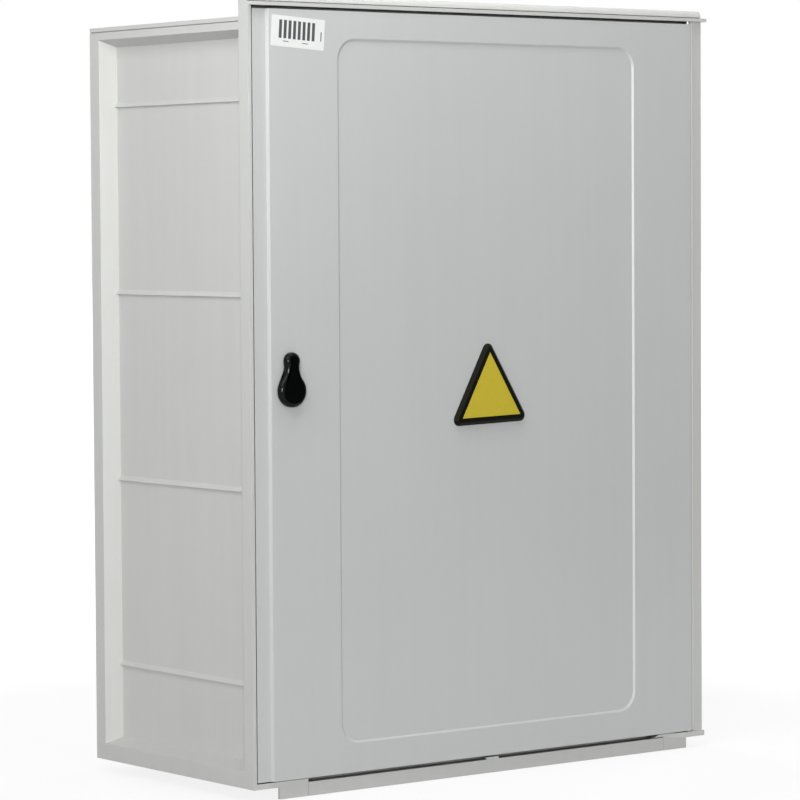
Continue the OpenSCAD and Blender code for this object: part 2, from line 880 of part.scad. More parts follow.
module panel_standoffs() {
    color(zinc) each_standoff() difference() {
        along_y([0, y_plate_back, 0], standoff_r, standoff_l);
        along_y([0, y_plate_back - cut, 0], bolt_r, standoff_l + 2 * cut);
    }
}

module panel_bolts() {
    color(zinc) each_standoff() {
        translate([0, y_plate, 0]) rotate([90, 0, 0]) cylinder(r = bolt_head_r, h = bolt_head_t, $fn = 6);
        along_y([0, y_plate - 0.01, 0], bolt_r, plate_t + standoff_l + wall);
    }
}

module meter_base() {
    mid = [meter_x, y_meter_base, meter_up];
    color(meter_white) difference() {
        plate(mid, meter_w, meter_h, meter_base_d, meter_r);
        plate(mid - [0, cut, 0], meter_w - 4 * meter_rim, meter_h - 4 * meter_rim,
            meter_base_d - meter_rim + cut, meter_r / 2);
    }
}

// Places of the two sealing screws
module each_meter_screw() {
    for (sx = [-1, 1])
        translate([meter_x + sx * (meter_w / 2 - meter_screw_in), 0, meter_split + meter_screw_in])
            children();
}

module meter_cover() {
    h = meter_top - meter_split;
    mid = [meter_x, y_meter, (meter_split + meter_top) / 2];
    deep = y_meter_base - y_meter;
    color(meter_white) difference() {
        plate(mid, meter_w - meter_rim, h, deep, meter_r);
        plate(mid + [0, meter_wall, 0], meter_w - meter_rim - 2 * meter_wall, h - 2 * meter_wall, deep,
            meter_r - meter_wall);
        plate([meter_x, y_meter - cut, window_z], window_w, window_h, meter_wall + 2 * cut, meter_wall);
        along_y([meter_x, y_meter - cut, button_z], button_r + button_gap, meter_wall + 2 * cut);
        each_meter_screw() along_y([0, y_meter - cut, 0], meter_screw_r, meter_wall + 2 * cut);
    }
}

module meter_window() {
    color(clear_pane) union() {
        plate([meter_x, y_meter, window_z], window_w, window_h, meter_wall, meter_wall);
        plate([meter_x, y_meter + meter_wall, window_z], window_w + 2 * pane_lap, window_h + 2 * pane_lap,
            pane_t, meter_wall);
    }
}

// Register unit behind the window, with the post that carries the button
module meter_display() {
    y_face = y_meter + meter_wall + pane_t;
    foot = y_plate - meter_rim;
    color(display_green) difference() {
        union() {
            block([meter_x - window_w / 2, y_face, window_z - window_h / 2],
                [meter_x + window_w / 2, foot, window_z + window_h / 2]);
            along_y([meter_x, y_face + button_head + button_collar_t + button_travel, button_z],
                button_r + button_collar + 2, foot - y_face - button_head - button_collar_t - button_travel);
        }
        along_y([meter_x, y_face, button_z], guide_post + run_gap, foot - y_face - cut);
    }
}

module meter_button() {
    y_head = y_meter - button_head;
    y_collar = y_meter + meter_wall + button_gap;
    color(button_blue) {
        along_y([meter_x, y_head, button_z], button_r, y_collar - y_head + 0.01);
        along_y([meter_x, y_collar, button_z], button_r + button_collar, button_collar_t);
        along_y([meter_x, y_collar, button_z], guide_post, button_collar_t + button_travel + 12);
    }
}

module meter_terminal_cover() {
    h = meter_foot_h - joint_gap;
    mid = [meter_x, y_meter + meter_wall, meter_foot + h / 2];
    deep = y_meter_base - y_meter - meter_wall;
    color(gear_grey) difference() {
        plate(mid, meter_w - meter_rim, h, deep, meter_r);
        plate(mid + [0, meter_wall, 0], meter_w - meter_rim - 2 * meter_wall, h - 2 * meter_wall, deep,
            meter_r - meter_wall);
        for (i = [-3:3])
            translate([meter_x + i * meter_w / 8, y_meter + meter_d / 2, meter_foot - cut])
                cylinder(r = meter_w / 24, h = meter_wall + 2 * cut);
    }
}

// Sealing screws of the meter's cover
module meter_screws() {
    y_head = y_meter - meter_wall / 2;
    color(brass) each_meter_screw() along_y([0, y_head, 0], meter_screw_r, y_plate - meter_rim - y_head);
}

module din_rail() {
    half = din_flat / 2;
    edge = din_w / 2;
    color(zinc) difference() {
        sweep_x(-rail_l / 2, rail_l / 2) polygon([
            [y_plate, din_z - half], [y_plate, din_z + half], [y_din + din_t, din_z + half],
            [y_din + din_t, din_z + edge], [y_din, din_z + edge], [y_din, din_z + half - din_t],
            [y_plate - din_t, din_z + half - din_t], [y_plate - din_t, din_z - half + din_t],
            [y_din, din_z - half + din_t], [y_din, din_z - edge], [y_din + din_t, din_z - edge],
            [y_din + din_t, din_z - half]]);
        for (sx = [-1, 1])
            along_y([sx * (rail_l / 2 - din_w / 2), y_plate - din_t - cut, din_z], screw_r, din_t + 2 * cut);
        for (i = [0:din_slots - 1])
            plate([(i - (din_slots - 1) / 2) * din_slot_pitch, y_plate - din_t - cut, din_z],
                din_slot_l, din_slot_w, din_t + 2 * cut, din_slot_w / 2 - 0.1);
    }
}

module rail_screws() {
    color(zinc) for (sx = [-1, 1])
        pan_screw([sx * (rail_l / 2 - din_w / 2), y_plate - din_t, din_z], screw_r, din_t);
}

// Stepped outline of a rail device, seen from the side in the y-z plane
module gear_outline(deep, nose) {
    y_step = y_din - deep + nose;
    y_nose = y_din - deep;
    high = gear_h / 2;
    low = gear_low / 2;
    translate([0, din_z]) polygon([[y_din, -high], [y_din, high], [y_step, high], [y_step, low],
        [y_nose, low], [y_nose, -low], [y_step, -low], [y_step, -high]]);
}

switch_x = -switch_left;
y_toggle = y_din - gear_d + toggle_r / 2;

module switch_body() {
    gap = toggle_r + toggle_gap;
    half = toggle_w / 2 + toggle_gap;
    color(meter_white) difference() {
        sweep_x(switch_x - switch_w / 2, switch_x + switch_w / 2) gear_outline(gear_d, gear_nose);
        along_x([switch_x - half, y_toggle, din_z], gap, 2 * half);
        along_x([switch_x - half - 4, y_toggle, din_z], toggle_pin_r + run_gap, 2 * half + 8);
        for (i = [-1.5:1.5], sz = [-1, 1])
            translate([switch_x + i * switch_w / 4, y_din - gear_d + gear_nose, din_z + sz * gear_h * 0.41])
                along_y([0, -cut, 0], screw_head_r, 6);
    }
}

module switch_toggle() {
    tip = y_toggle - toggle_r - toggle_arm;
    color(cover_black) {
        along_x([switch_x - toggle_w / 2, y_toggle, din_z], toggle_r, toggle_w);
        along_x([switch_x - toggle_w / 2 - 3.5, y_toggle, din_z], toggle_pin_r, toggle_w + 7);
        translate([0, y_toggle, din_z]) rotate([toggle_angle, 0, 0]) translate([0, -y_toggle, -din_z])
            block([switch_x - toggle_w / 2, tip, din_z - toggle_t / 2],
                [switch_x + toggle_w / 2, y_toggle, din_z + toggle_t / 2]);
    }
}

// Places of the fuses
function fuse_x(i) = fuse_right + (i - (fuse_count - 1) / 2) * fuse_pitch;

module fuse_bases() {
    jaw_z = fuse_h / 2 - fuse_jaw;
    jaw_w = fuse_w - 8;
    slot_w = fuse_blade_t + 0.4;
    y_top = y_plate - fuse_base_t;
    y_jaw = y_top - fuse_jaw;
    color(gear_grey) for (i = [0:fuse_count - 1]) translate([fuse_x(i), 0, fuse_z]) difference() {
        union() {
            plate([0, y_plate - fuse_base_t, 0], fuse_w, fuse_h, fuse_base_t, 4);
            for (sz = [-1, 1])
                translate([0, 0, sz * jaw_z])
                    block([-jaw_w / 2, y_jaw, -fuse_jaw_h / 2], [jaw_w / 2, y_top + cut, fuse_jaw_h / 2]);
        }
        block([-slot_w / 2, y_jaw - cut, -fuse_h], [slot_w / 2, y_top - fuse_floor, fuse_h]);
    }
}

module fuse_links() {
    jaw_z = fuse_h / 2 - fuse_jaw;
    body_h = 2 * jaw_z - fuse_jaw_h - 4;
    y_top = y_plate - fuse_base_t;
    y_link = y_top - fuse_jaw;
    color(ceramic_white) for (i = [0:fuse_count - 1]) translate([fuse_x(i), 0, fuse_z]) {
        plate([0, y_link - fuse_grip, 0], fuse_body, body_h, fuse_jaw + fuse_grip - 2, 4);
        block([-fuse_blade_t / 2, y_link + 4, -jaw_z - 8], [fuse_blade_t / 2, y_top - fuse_floor, jaw_z + 8]);
        for (sz = [-1, 1])
            plate([0, y_link - fuse_grip - 6, sz * (body_h / 2 - 6)], fuse_body - 6, 8, 7, 2);
    }
}

// Left end of the row of rail terminals
term_x0 = term_right - term_count * term_w / 2;
term_deep = 44;
term_nose = 14;

// Places of the two screws of one rail terminal
module each_terminal_screw(i) {
    for (sz = [-1, 1])
        translate([term_x0 + (i + 0.5) * term_w, y_din - term_deep + term_nose, din_z + sz * gear_h * 0.38])
            children();
}

module terminal_block() {
    color(gear_grey) for (i = [0:term_count - 1]) difference() {
        sweep_x(term_x0 + i * term_w + gear_gap / 2, term_x0 + (i + 1) * term_w - gear_gap / 2)
            gear_outline(term_deep, term_nose);
        each_terminal_screw(i) along_y([0, -cut, 0], screw_head_r, 5 + cut);
    }
}

module terminal_screws() {
    color(brass) for (i = [0:term_count - 1]) each_terminal_screw(i) along_y([0, 2, 0], screw_head_r, 3);
}

bar_z = -bar_down;
y_bar = y_plate - insulator_l - bar_t;

module earth_bar() {
    color(brass) difference() {
        plate([0, y_bar, bar_z], bar_l, bar_h, bar_t, 3);
        for (i = [0:bar_screw_count - 1])
            along_y([bar_screw_x(i), y_bar - cut, bar_z], bar_screw_r, bar_t + 2 * cut);
    }
}

function bar_screw_x(i) = -bar_l / 2 + bar_screw_in
    + i * (bar_l - 2 * bar_screw_in) / (bar_screw_count - 1);

module bar_insulators() {
    color(ceramic_white) for (i = [0, bar_screw_count - 1]) difference() {
        union() {
            along_y([bar_screw_x(i), y_bar + bar_t, bar_z], insulator_r * 0.75, insulator_l);
            for (k = [0:2])
                along_y([bar_screw_x(i), y_bar + bar_t + insulator_l * (0.1 + 0.3 * k), bar_z],
                    insulator_r, insulator_l * 0.18);
        }
        along_y([bar_screw_x(i), y_bar + bar_t - cut, bar_z], bar_screw_r, 14 + cut);
    }
}

module bar_screws() {
    color(zinc) for (i = [0:bar_screw_count - 1])
        pan_screw([bar_screw_x(i), y_bar, bar_z], bar_screw_r, bar_t + 8);
}

// Section of the door in the x-y plane, drawn in by inset and open at the back by past
module door_section(inset, past) {
    x0 = door_x0 + inset;
    x1 = door_x1 - inset;
    y_low = y_front + inset;
    y_high = y_main + inset;
    y_end = y_rim + past;
    run_in = inset * 0.6;
    polygon([[x0, y_low], [step_x - step_run + run_in, y_low], [step_x + run_in, y_high], [hinge_x, y_high],
        [hinge_x, hinge_y], [x1, hinge_y], [x1, y_end], [x0, y_end]]);
    intersection() {
        translate([hinge_x, hinge_y]) circle(hinge_r - inset);
        translate([hinge_x, hinge_y - hinge_r]) square(hinge_r);
    }
}

// Plate on the outline of the recessed field, drawn in by inset
module field_plate(y, inset, t, r) {
    plate([field_mid[0], y, field_mid[1]], field_w - 2 * inset, field_h - 2 * inset, t, r);
}

// Recessed field of the door, its edge sloping in
module field_recess() {
    flare = field_slope * cut / field_deep;
    hull() {
        field_plate(y_main - cut, -flare, 0.1, field_r);
        field_plate(y_field - 0.1, field_slope, 0.1, field_r - field_slope / 2);
    }
}

// Skin behind the recessed field
module field_backing() {
    field_plate(y_main + skin / 2, -skin, field_deep + skin / 2, field_r);
}

// Stiffening ribs across the inside of the door
module door_stiffeners() {
    for (i = [1:door_ribs])
        translate([0, 0, field_z0 + i * field_h / (door_ribs + 1)])
            block([field_x0, y_main + skin, -door_rib_t / 2],
                [door_x1 - skin + cut, y_skin + field_deep + door_rib_h, door_rib_t / 2]);
}

module door_shell() {
    color(door_grey) difference() {
        sweep_z(door_z0, door_z1) door_section(0, 0);
        difference() {
            sweep_z(door_z0 + skin, door_z1 - skin) door_section(skin, cut);
            field_backing();
            door_stiffeners();
            for (z = [door_z0, door_z1 - pin_reach - skin])
                block([door_x1 - hinge_block, y_main, z], [door_x1, y_rim + 2 * cut, z + pin_reach + skin]);
        }
        field_recess();
        sweep_z(door_z0 - cut, door_z1 + cut)
            polygon([[door_x1 - rim_bevel, y_rim + cut], [door_x1 + cut, y_rim + cut],
                [door_x1 + cut, y_rim - rim_bevel]]);
        for (z = [door_z0 - cut, door_z1 - pin_reach - 1])
            translate([hinge_x, hinge_y, z]) cylinder(r = pin_r + run_gap, h = pin_reach + 1 + cut);
        along_y([lock_x, y_main - cut, lock_z], barrel_r, skin + 2 * cut);
        along_y([lock_x, y_main - cut, pivot_z], cover_pin_r, skin + 2 * cut);
    }
}

module lock_barrel() {
    color(steel) difference() {
        union() {
            along_y([lock_x, y_flange, lock_z], flange_r, flange_t);
            along_y([lock_x, y_main - 0.01, lock_z], barrel_r, y_barrel - y_main + 0.01);
        }
        along_y([lock_x, y_flange - cut, lock_z], mouth_r, mouth_deep + cut);
        along_y([lock_x, y_mouth - cut, lock_z], spindle_r + run_gap, y_barrel - y_mouth + 2 * cut);
    }
}

module lock_nut() {
    color(zinc) difference() {
        translate([lock_x, y_skin + nut_t, lock_z]) rotate([90, 0, 0])
            cylinder(r = nut_r, h = nut_t, $fn = 6);
        along_y([lock_x, y_skin - cut, lock_z], barrel_r, nut_t + 2 * cut);
    }
}

module lock_spindle() {
    y_shoulder = y_mouth - shoulder_gap;
    color(steel) difference() {
        union() {
            translate([lock_x, y_shoulder - shoulder_t + 0.01, lock_z]) rotate([90, 0, 0])
                cylinder(r = key_r, h = y_shoulder - shoulder_t - y_main, $fn = 3);
            along_y([lock_x, y_shoulder - shoulder_t, lock_z], shoulder_r, shoulder_t);
            along_y([lock_x, y_shoulder - 0.01, lock_z], spindle_r, y_cam + cam_t - y_shoulder + 0.01);
        }
        along_y([lock_x, y_cam + cam_t - cam_screw_l, lock_z], cam_screw_r, cam_screw_l + cut);
    }
}

// Cam with its two driving pins, drawn with the rods drawn back
module cam_plate() {
    reach = rod_t + 1;
    color(zinc) difference() {
        union() {
            along_y([lock_x, y_cam, lock_z], cam_r + cam_edge, cam_t);
            for (s = [-1, 1])
                along_y([lock_x + s * pin_side, y_cam - reach, lock_z - s * pin_side],
                    cam_pin_r, reach + cut);
        }
        along_y([lock_x, y_cam - cut, lock_z], spindle_r, cam_t + 2 * cut);
    }
}

module cam_screw() {
    y_head = y_cam + cam_t;
    color(zinc) {
        along_y([lock_x, y_head, lock_z], cam_screw_head, cam_screw_head_t);
        along_y([lock_x, y_head - cam_screw_l, lock_z], cam_screw_r, cam_screw_l + cut);
    }
}

// Flat lock rod with its open fork, drawn for the upper rod about the lock's middle
module lock_rod(length) {
    fork = cam_pin_r + fork_gap;
    low = -pin_side - fork - fork_jaw;
    bevel = rod_w / 3;
    rod_out = rod_in + rod_w;
    sweep_y(y_rod, y_rod + rod_t) difference() {
        polygon([[rod_in, low], [rod_out, low], [rod_out, length - bevel], [rod_out - bevel, length],
            [rod_in + bevel, length], [rod_in, length - bevel]]);
        translate([rod_in - cut, -pin_side - fork]) square([cam_r + fork - rod_in + cut, 2 * fork]);
    }
}

module rod_upper() {
    color(steel) translate([lock_x, 0, lock_z]) lock_rod(way_z1 - rod_clear - lock_z);
}

module rod_lower() {
    color(steel) translate([lock_x, 0, lock_z]) rotate([0, 180, 0]) lock_rod(lock_z - way_z0 - rod_clear);
}

// One rod guide: a post on the door's skin with a window for the rod
module rod_guide(x, z) {
    slot = rod_w / 2 + rod_gap;
    half = slot + guide_wall;
    y_end = y_rod + rod_t + rod_gap;
    difference() {
        block([x - half, y_skin, z - guide_h / 2], [x + half, y_end + guide_wall, z + guide_h / 2]);
        block([x - slot, y_rod - rod_gap, z - guide_h], [x + slot, y_end, z + guide_h]);
    }
}

module rod_guides() {
    color(cover_black) {
        for (z = [lock_z + guide_near, way_z1 - guide_far]) rod_guide(lock_x + rod_mid, z);
        for (z = [lock_z - guide_near, way_z0 + guide_far]) rod_guide(lock_x - rod_mid, z);
    }
}

module cover_pin() {
    color(steel) {
        along_y([lock_x, y_cover - cover_pin_in, pivot_z],
            cover_pin_r, y_skin + push_nut_t - y_cover + cover_pin_in);
        along_y([lock_x, y_cover + cover_foot_gap, pivot_z], cover_foot_r, y_main - y_cover - cover_foot_gap);
        along_y([lock_x, y_skin, pivot_z], push_nut_r, push_nut_t);
    }
}

// Middle of the circle that hollows the cover's right side, seen from the head's middle
waist_low = (pow(head_r + waist_r, 2) - pow(lobe_r + waist_r, 2) + pow(cover_reach, 2)) / (2 * cover_reach);
waist_x = sqrt(pow(head_r + waist_r, 2) - pow(waist_low, 2));
head_turn = atan2(-waist_low, waist_x);
lobe_turn = atan2(cover_reach - waist_low, waist_x);
arc_steps = 10;

// Points of an arc from angle a to angle b
function arc(mid, r, a, b, n) = [for (i = [0:n], t = a + (b - a) * i / n) mid + r * [cos(t), sin(t)]];

// Right half of the cover's outline, from the top of the head to the foot of the lobe, drawn in by d
function half_pear(d) = concat(
    arc([0, 0], head_r - d, 90, head_turn, arc_steps),
    arc([waist_x, -waist_low], waist_r + d, 180 + head_turn, 180 + lobe_turn, arc_steps),
    arc([0, -cover_reach], lobe_r - d, lobe_turn, -90, 2 * arc_steps));

function pear(d) = let (half = half_pear(d), n = len(half))
    concat(half, [for (i = [n - 2:-1:1]) [-half[i][0], half[i][1]]]);

round_steps = 6;
cover_rings = concat([[0, 0]], [for (i = [0:round_steps], t = 90 * i / round_steps)
    [cover_round * (1 - cos(t)), cover_h - cover_round * (1 - sin(t))]]);

// Rounded body of the cover, standing on z = 0
module cover_body() {
    n = len(pear(0));
    rings = len(cover_rings);
    points = [for (ring = cover_rings, p = pear(ring[0])) [p[0], p[1], ring[1]]];
    sides = [for (k = [0:rings - 2], i = [0:n - 1])
        [k * n + i, (k + 1) * n + i, (k + 1) * n + (i + 1) % n, k * n + (i + 1) % n]];
    foot = [for (i = [0:n - 1]) i];
    top = [for (i = [n - 1:-1:0]) (rings - 1) * n + i];
    polyhedron(points, concat(sides, [foot], [top]));
}

module lock_cover() {
    hollow = cover_h - cover_wall;
    color(cover_black) difference() {
        translate([lock_x, y_cover, pivot_z]) rotate([90, 0, 0]) cover_body();
        along_y([lock_x, y_cover - hollow, lock_z], lobe_r - cover_round + 1, hollow + cut);
        along_y([lock_x, y_cover - hollow + cover_round, lock_z],
            lobe_r - cover_wall, hollow - cover_round + cut);
        along_y([lock_x, y_cover - cover_pin_in - cover_pin_gap, pivot_z], cover_pin_r + run_gap,
            cover_pin_in + cover_pin_gap + cut);
    }
}

// Three places at the corners of an upright triangle
module each_corner(arm) {
    for (a = [90, 210, 330]) translate([arm * cos(a), arm * sin(a), 0]) children();
}

module plaque_base() {
    color(plaque_black) difference() {
        translate([0, y_field, plaque_z]) rotate([90, 0, 0]) rotate([0, 0, plaque_turn]) hull() {
            each_corner(plaque_arm) cylinder(r = plaque_r, h = plaque_t - plaque_bevel, $fn = 32);
            each_corner(plaque_arm) cylinder(r = plaque_r - plaque_bevel, h = plaque_t, $fn = 32);
        }
        plaque_insert(face_t + cut);
    }
}

// Three-sided plate let into the front of the plaque
module plaque_insert(t) {
    translate([0, y_field - plaque_t + face_t, plaque_z]) rotate([90, 0, 0]) rotate([0, 0, 90 + plaque_turn])
        cylinder(r = face_arm, h = t, $fn = 3);
}

module plaque_face() {
    color(plaque_yellow) plaque_insert(face_t);
}

back_panel();
side_panel_left();
side_panel_right();
roof_panel();
floor_panel();
front_frame();
vent_strip();
door_seal();
panel_screws();
frame_screws();
hinge_pins();
rod_keepers();
cable_grommets();
mounting_panel();
panel_standoffs();
panel_bolts();
meter_base();
meter_cover();
meter_window();
meter_display();
meter_terminal_cover();
meter_screws();
meter_button();
din_rail();
rail_screws();
switch_body();
switch_toggle();
fuse_bases();
fuse_links();
terminal_block();
terminal_screws();
earth_bar();
bar_insulators();
bar_screws();
door_shell();
lock_barrel();
lock_nut();
rod_guides();
lock_spindle();
cam_plate();
cam_screw();
rod_upper();
rod_lower();
cover_pin();
lock_cover();
plaque_base();
plaque_face();
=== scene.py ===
"""Looks of a wall cabinet for an electricity meter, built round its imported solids."""

from __future__ import annotations

import logging
import math
from dataclasses import dataclass
from enum import Enum

import bpy
from mathutils import Euler, Matrix, Vector

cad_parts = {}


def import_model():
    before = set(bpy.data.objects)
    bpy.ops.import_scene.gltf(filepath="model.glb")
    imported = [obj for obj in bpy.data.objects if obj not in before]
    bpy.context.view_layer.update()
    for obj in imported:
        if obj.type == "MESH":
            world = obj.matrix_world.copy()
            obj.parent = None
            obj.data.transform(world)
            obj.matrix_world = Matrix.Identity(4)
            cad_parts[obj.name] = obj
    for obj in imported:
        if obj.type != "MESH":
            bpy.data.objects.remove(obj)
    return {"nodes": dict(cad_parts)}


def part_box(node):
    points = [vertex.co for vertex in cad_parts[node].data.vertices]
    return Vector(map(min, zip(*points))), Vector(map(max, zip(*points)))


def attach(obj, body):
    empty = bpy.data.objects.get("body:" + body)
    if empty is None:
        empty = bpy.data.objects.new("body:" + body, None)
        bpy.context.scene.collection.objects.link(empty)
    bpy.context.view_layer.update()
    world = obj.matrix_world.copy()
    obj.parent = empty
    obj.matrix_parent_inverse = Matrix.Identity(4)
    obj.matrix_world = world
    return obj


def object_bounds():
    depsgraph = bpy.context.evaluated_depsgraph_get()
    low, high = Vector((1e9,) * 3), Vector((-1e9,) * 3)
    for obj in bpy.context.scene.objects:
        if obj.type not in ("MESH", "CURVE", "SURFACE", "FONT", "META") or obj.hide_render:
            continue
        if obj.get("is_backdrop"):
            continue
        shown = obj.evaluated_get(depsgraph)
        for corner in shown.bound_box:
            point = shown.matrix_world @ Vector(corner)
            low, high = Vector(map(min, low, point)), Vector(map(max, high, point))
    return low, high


LOG = logging.getLogger("meter_cabinet")
Colour = tuple[float, float, float]
Point = tuple[float, float, float]
Piece = bpy.types.Object
Socket = bpy.types.NodeSocket
FLOOR_GAP = 0.0005


def linear(red: int, green: int, blue: int) -> Colour:
    """Turns a colour of 0 to 255 steps into the linear values of a shader.

    Args:
        red: red step.
        green: green step.
        blue: blue step.

    Returns:
        The three linear values.
    """
    parts = []
    for step in (red, green, blue):
        value = step / 255
        parts.append(value / 12.92 if value <= 0.04045 else ((value + 0.055) / 1.055) ** 2.4)
    return (parts[0], parts[1], parts[2])


class Grain(Enum):
    """Kinds of fine surface relief, each with the stretch of its pattern."""

    PEEL = (1.0, 1.0, 1.0)
    UPRIGHT = (1.0, 1.0, 0.06)
    LENGTHWISE = (0.05, 1.0, 1.0)


class Join(Enum):
    """Ways to join two values."""

    SUM = "ADD"
    PRODUCT = "MULTIPLY"
    LARGER = "MAXIMUM"


def joined(tree: bpy.types.NodeTree, how: Join, first: Socket, second: Socket) -> Socket:
    """Joins two values in a node tree.

    Args:
        tree: tree to build in.
        how: way to join them.
        first: one value.
        second: the other value.

    Returns:
        The result's socket.
    """
    step = tree.nodes.new("ShaderNodeMath")
    step.operation = how.value
    tree.links.new(first, step.inputs[0])
    tree.links.new(second, step.inputs[1])
    return step.outputs[0]


class Recipe:
    """Node tree of one material, with short ways to add and join nodes."""

    probe_rays = 8
    edge_span = (0.75, 0.99)

    def __init__(self, name: str) -> None:
        """Starts a material from an empty shader.

        Args:
            name: name of the material.
        """
        self.material = bpy.data.materials.new(name)
        self.material.use_nodes = True
        self.tree = self.material.node_tree
        self.shader = self.tree.nodes["Principled BSDF"]
        self.coords = self.node("ShaderNodeTexCoord").outputs["Object"]

    def node(self, kind: str, **inputs: object) -> bpy.types.Node:
        """Adds a node.

        Args:
            kind: type name of the node.
            inputs: values for its sockets, with _ in place of a space.

        Returns:
            The new node.
        """
        made = self.tree.nodes.new(kind)
        for key, value in inputs.items():
            made.inputs[key.replace("_", " ")].default_value = value
        return made

    def link(self, source: Socket, target: Socket) -> None:
        """Joins an output to an input."""
        self.tree.links.new(source, target)

    def noise(self, scale: float, detail: float = 2.0, stretch: Point = (1.0, 1.0, 1.0)) -> Socket:
        """Adds a cloud pattern over the piece's own coordinates.

        Args:
            scale: cells in a metre.
            detail: octaves.
            stretch: scale of each axis.

        Returns:
            The pattern's value socket.
        """
        mapping = self.node("ShaderNodeMapping", Scale=stretch)
        self.link(self.coords, mapping.inputs["Vector"])
        cloud = self.node("ShaderNodeTexNoise", Scale=scale, Detail=detail)
        self.link(mapping.outputs["Vector"], cloud.inputs["Vector"])
        return cloud.outputs["Fac"]

    def spread(self, value: Socket, low: float, high: float,
               start: float = 0.3, end: float = 0.7) -> Socket:
        """Maps a pattern onto a range.

        Args:
            value: pattern socket.
            low: result at start.
            high: result at end.
            start: pattern value that gives low.
            end: pattern value that gives high.

        Returns:
            The mapped socket.
        """
        ranged = self.node("ShaderNodeMapRange")
        for key, number in (("From Min", start), ("From Max", end), ("To Min", low), ("To Max", high)):
            ranged.inputs[key].default_value = number
        self.link(value, ranged.inputs["Value"])
        return ranged.outputs["Result"]

    def openness(self, reach: float) -> Socket:
        """Measures how open a spot lies to its surroundings.

        Args:
            reach: how far neighbours count, in metres.

        Returns:
            A socket that is 1 in the open and 0 deep in a joint.
        """
        probe = self.node("ShaderNodeAmbientOcclusion", Distance=reach)
        probe.samples = self.probe_rays
        return probe.outputs["AO"]

    def shade(self, colour: Colour, factor: Socket) -> Socket:
        """Scales a colour by a pattern around 1.

        Args:
            colour: linear colour.
            factor: pattern socket.

        Returns:
            The colour socket.
        """
        scaler = self.tree.nodes.new("ShaderNodeVectorMath")
        scaler.operation = "SCALE"
        scaler.inputs[0].default_value = colour
        self.link(factor, scaler.inputs["Scale"])
        return scaler.outputs["Vector"]

    def blend(self, factor: Socket, first: Socket, second: Colour) -> Socket:
        """Mixes a colour socket with a fixed colour.

        Args:
            factor: share of the fixed colour.
            first: colour socket.
            second: fixed colour.

        Returns:
            The mixed colour socket.
        """
        mixer = self.tree.nodes.new("ShaderNodeMix")
        mixer.data_type = "RGBA"
        self.link(factor, mixer.inputs[0])
        self.link(first, mixer.inputs[6])
        mixer.inputs[7].default_value = (*second, 1.0)
        return mixer.outputs[2]

    def edge_normal(self, radius: float) -> Socket:
        """Adds a softened edge normal.

        Args:
            radius: edge radius in metres.

        Returns:
            The normal socket.
        """
        return self.node("ShaderNodeBevel", Radius=radius).outputs["Normal"]

    def edge_mask(self, soft: Socket, most: float) -> Socket:
        """Finds edges where the softened normal leaves the true one: wear, and on some finishes a painted
        highlight along the edges.

        Args:
            soft: softened normal.
            most: value on a sharp edge.

        Returns:
            The mask socket.
        """
        dot = self.tree.nodes.new("ShaderNodeVectorMath")
        dot.operation = "DOT_PRODUCT"
        self.link(soft, dot.inputs[0])
        self.link(self.node("ShaderNodeNewGeometry").outputs["Normal"], dot.inputs[1])
        return self.spread(dot.outputs["Value"], most, 0.0, *self.edge_span)

    def relief(self, height: Socket, depth: float, strength: float,
               base: Socket) -> Socket:
        """Adds fine relief on top of a normal.

        Args:
            height: pattern socket.
            depth: height of the pattern in metres.
            strength: share of the relief that shows.
            base: normal to build on.

        Returns:
            The normal socket.
        """
        bump = self.node("ShaderNodeBump", Strength=strength, Distance=depth)
        self.link(height, bump.inputs["Height"])
        self.link(base, bump.inputs["Normal"])
        return bump.outputs["Normal"]


@dataclass(frozen=True)
class Finish:
    """Solid surface with mottling, speckle, fine relief and lighter edges, which are wear and, on the
    polyester and the plaque, a painted highlight.
    """

    name: str
    colour: Colour
    roughness: float
    metallic: float = 0.0
    mottle: float = 0.03
    mottle_scale: float = 7.0
    speckle: float = 0.03
    speckle_scale: float = 800.0
    grain: Grain = Grain.PEEL
    grain_scale: float = 420.0
    grain_depth: float = 0.00012
    grain_strength: float = 0.25
    gloss_spread: float = 0.05
    edge_radius: float = 0.0006
    # Lightening of the edges: wear, and on the polyester and the plaque a painted highlight.
    edge_wear_and_highlight: float = 0.25
    edge_colour: Colour = (0.7, 0.7, 0.68)
    specular: float = 0.5
    coat: float = 0.0

    def pattern(self, recipe: Recipe) -> Socket:
        """Builds the brightness pattern.

        Args:
            recipe: tree to build in.

        Returns:
            A socket of values around 1.
        """
        wide = recipe.spread(recipe.noise(self.mottle_scale, 3.0), 1.0 - self.mottle, 1.0 + self.mottle)
        fine = recipe.spread(recipe.noise(self.speckle_scale, 1.0), -self.speckle, self.speckle)
        return joined(recipe.tree, Join.SUM, wide, fine)

    def make(self) -> bpy.types.Material:
        """Builds the material.

        Returns:
            The finished material.
        """
        recipe = Recipe(self.name)
        shader = recipe.shader
        soft = recipe.edge_normal(self.edge_radius)
        colour = recipe.shade(self.colour, self.pattern(recipe))
        # Lighter edges: wear, and on the polyester and the plaque a painted highlight along the edges.
        worn_and_highlit = recipe.blend(recipe.edge_mask(soft, self.edge_wear_and_highlight), colour, self.edge_colour)
        recipe.link(worn_and_highlit, shader.inputs["Base Color"])
        grain = recipe.noise(self.grain_scale, 2.0, self.grain.value)
        gloss = recipe.spread(grain, self.roughness - self.gloss_spread, self.roughness + self.gloss_spread)
        recipe.link(gloss, shader.inputs["Roughness"])
        normal = recipe.relief(grain, self.grain_depth, self.grain_strength, soft)
        recipe.link(normal, shader.inputs["Normal"])
        shader.inputs["Metallic"].default_value = self.metallic
        shader.inputs["Specular IOR Level"].default_value = self.specular
        shader.inputs["Coat Weight"].default_value = self.coat
        return recipe.material


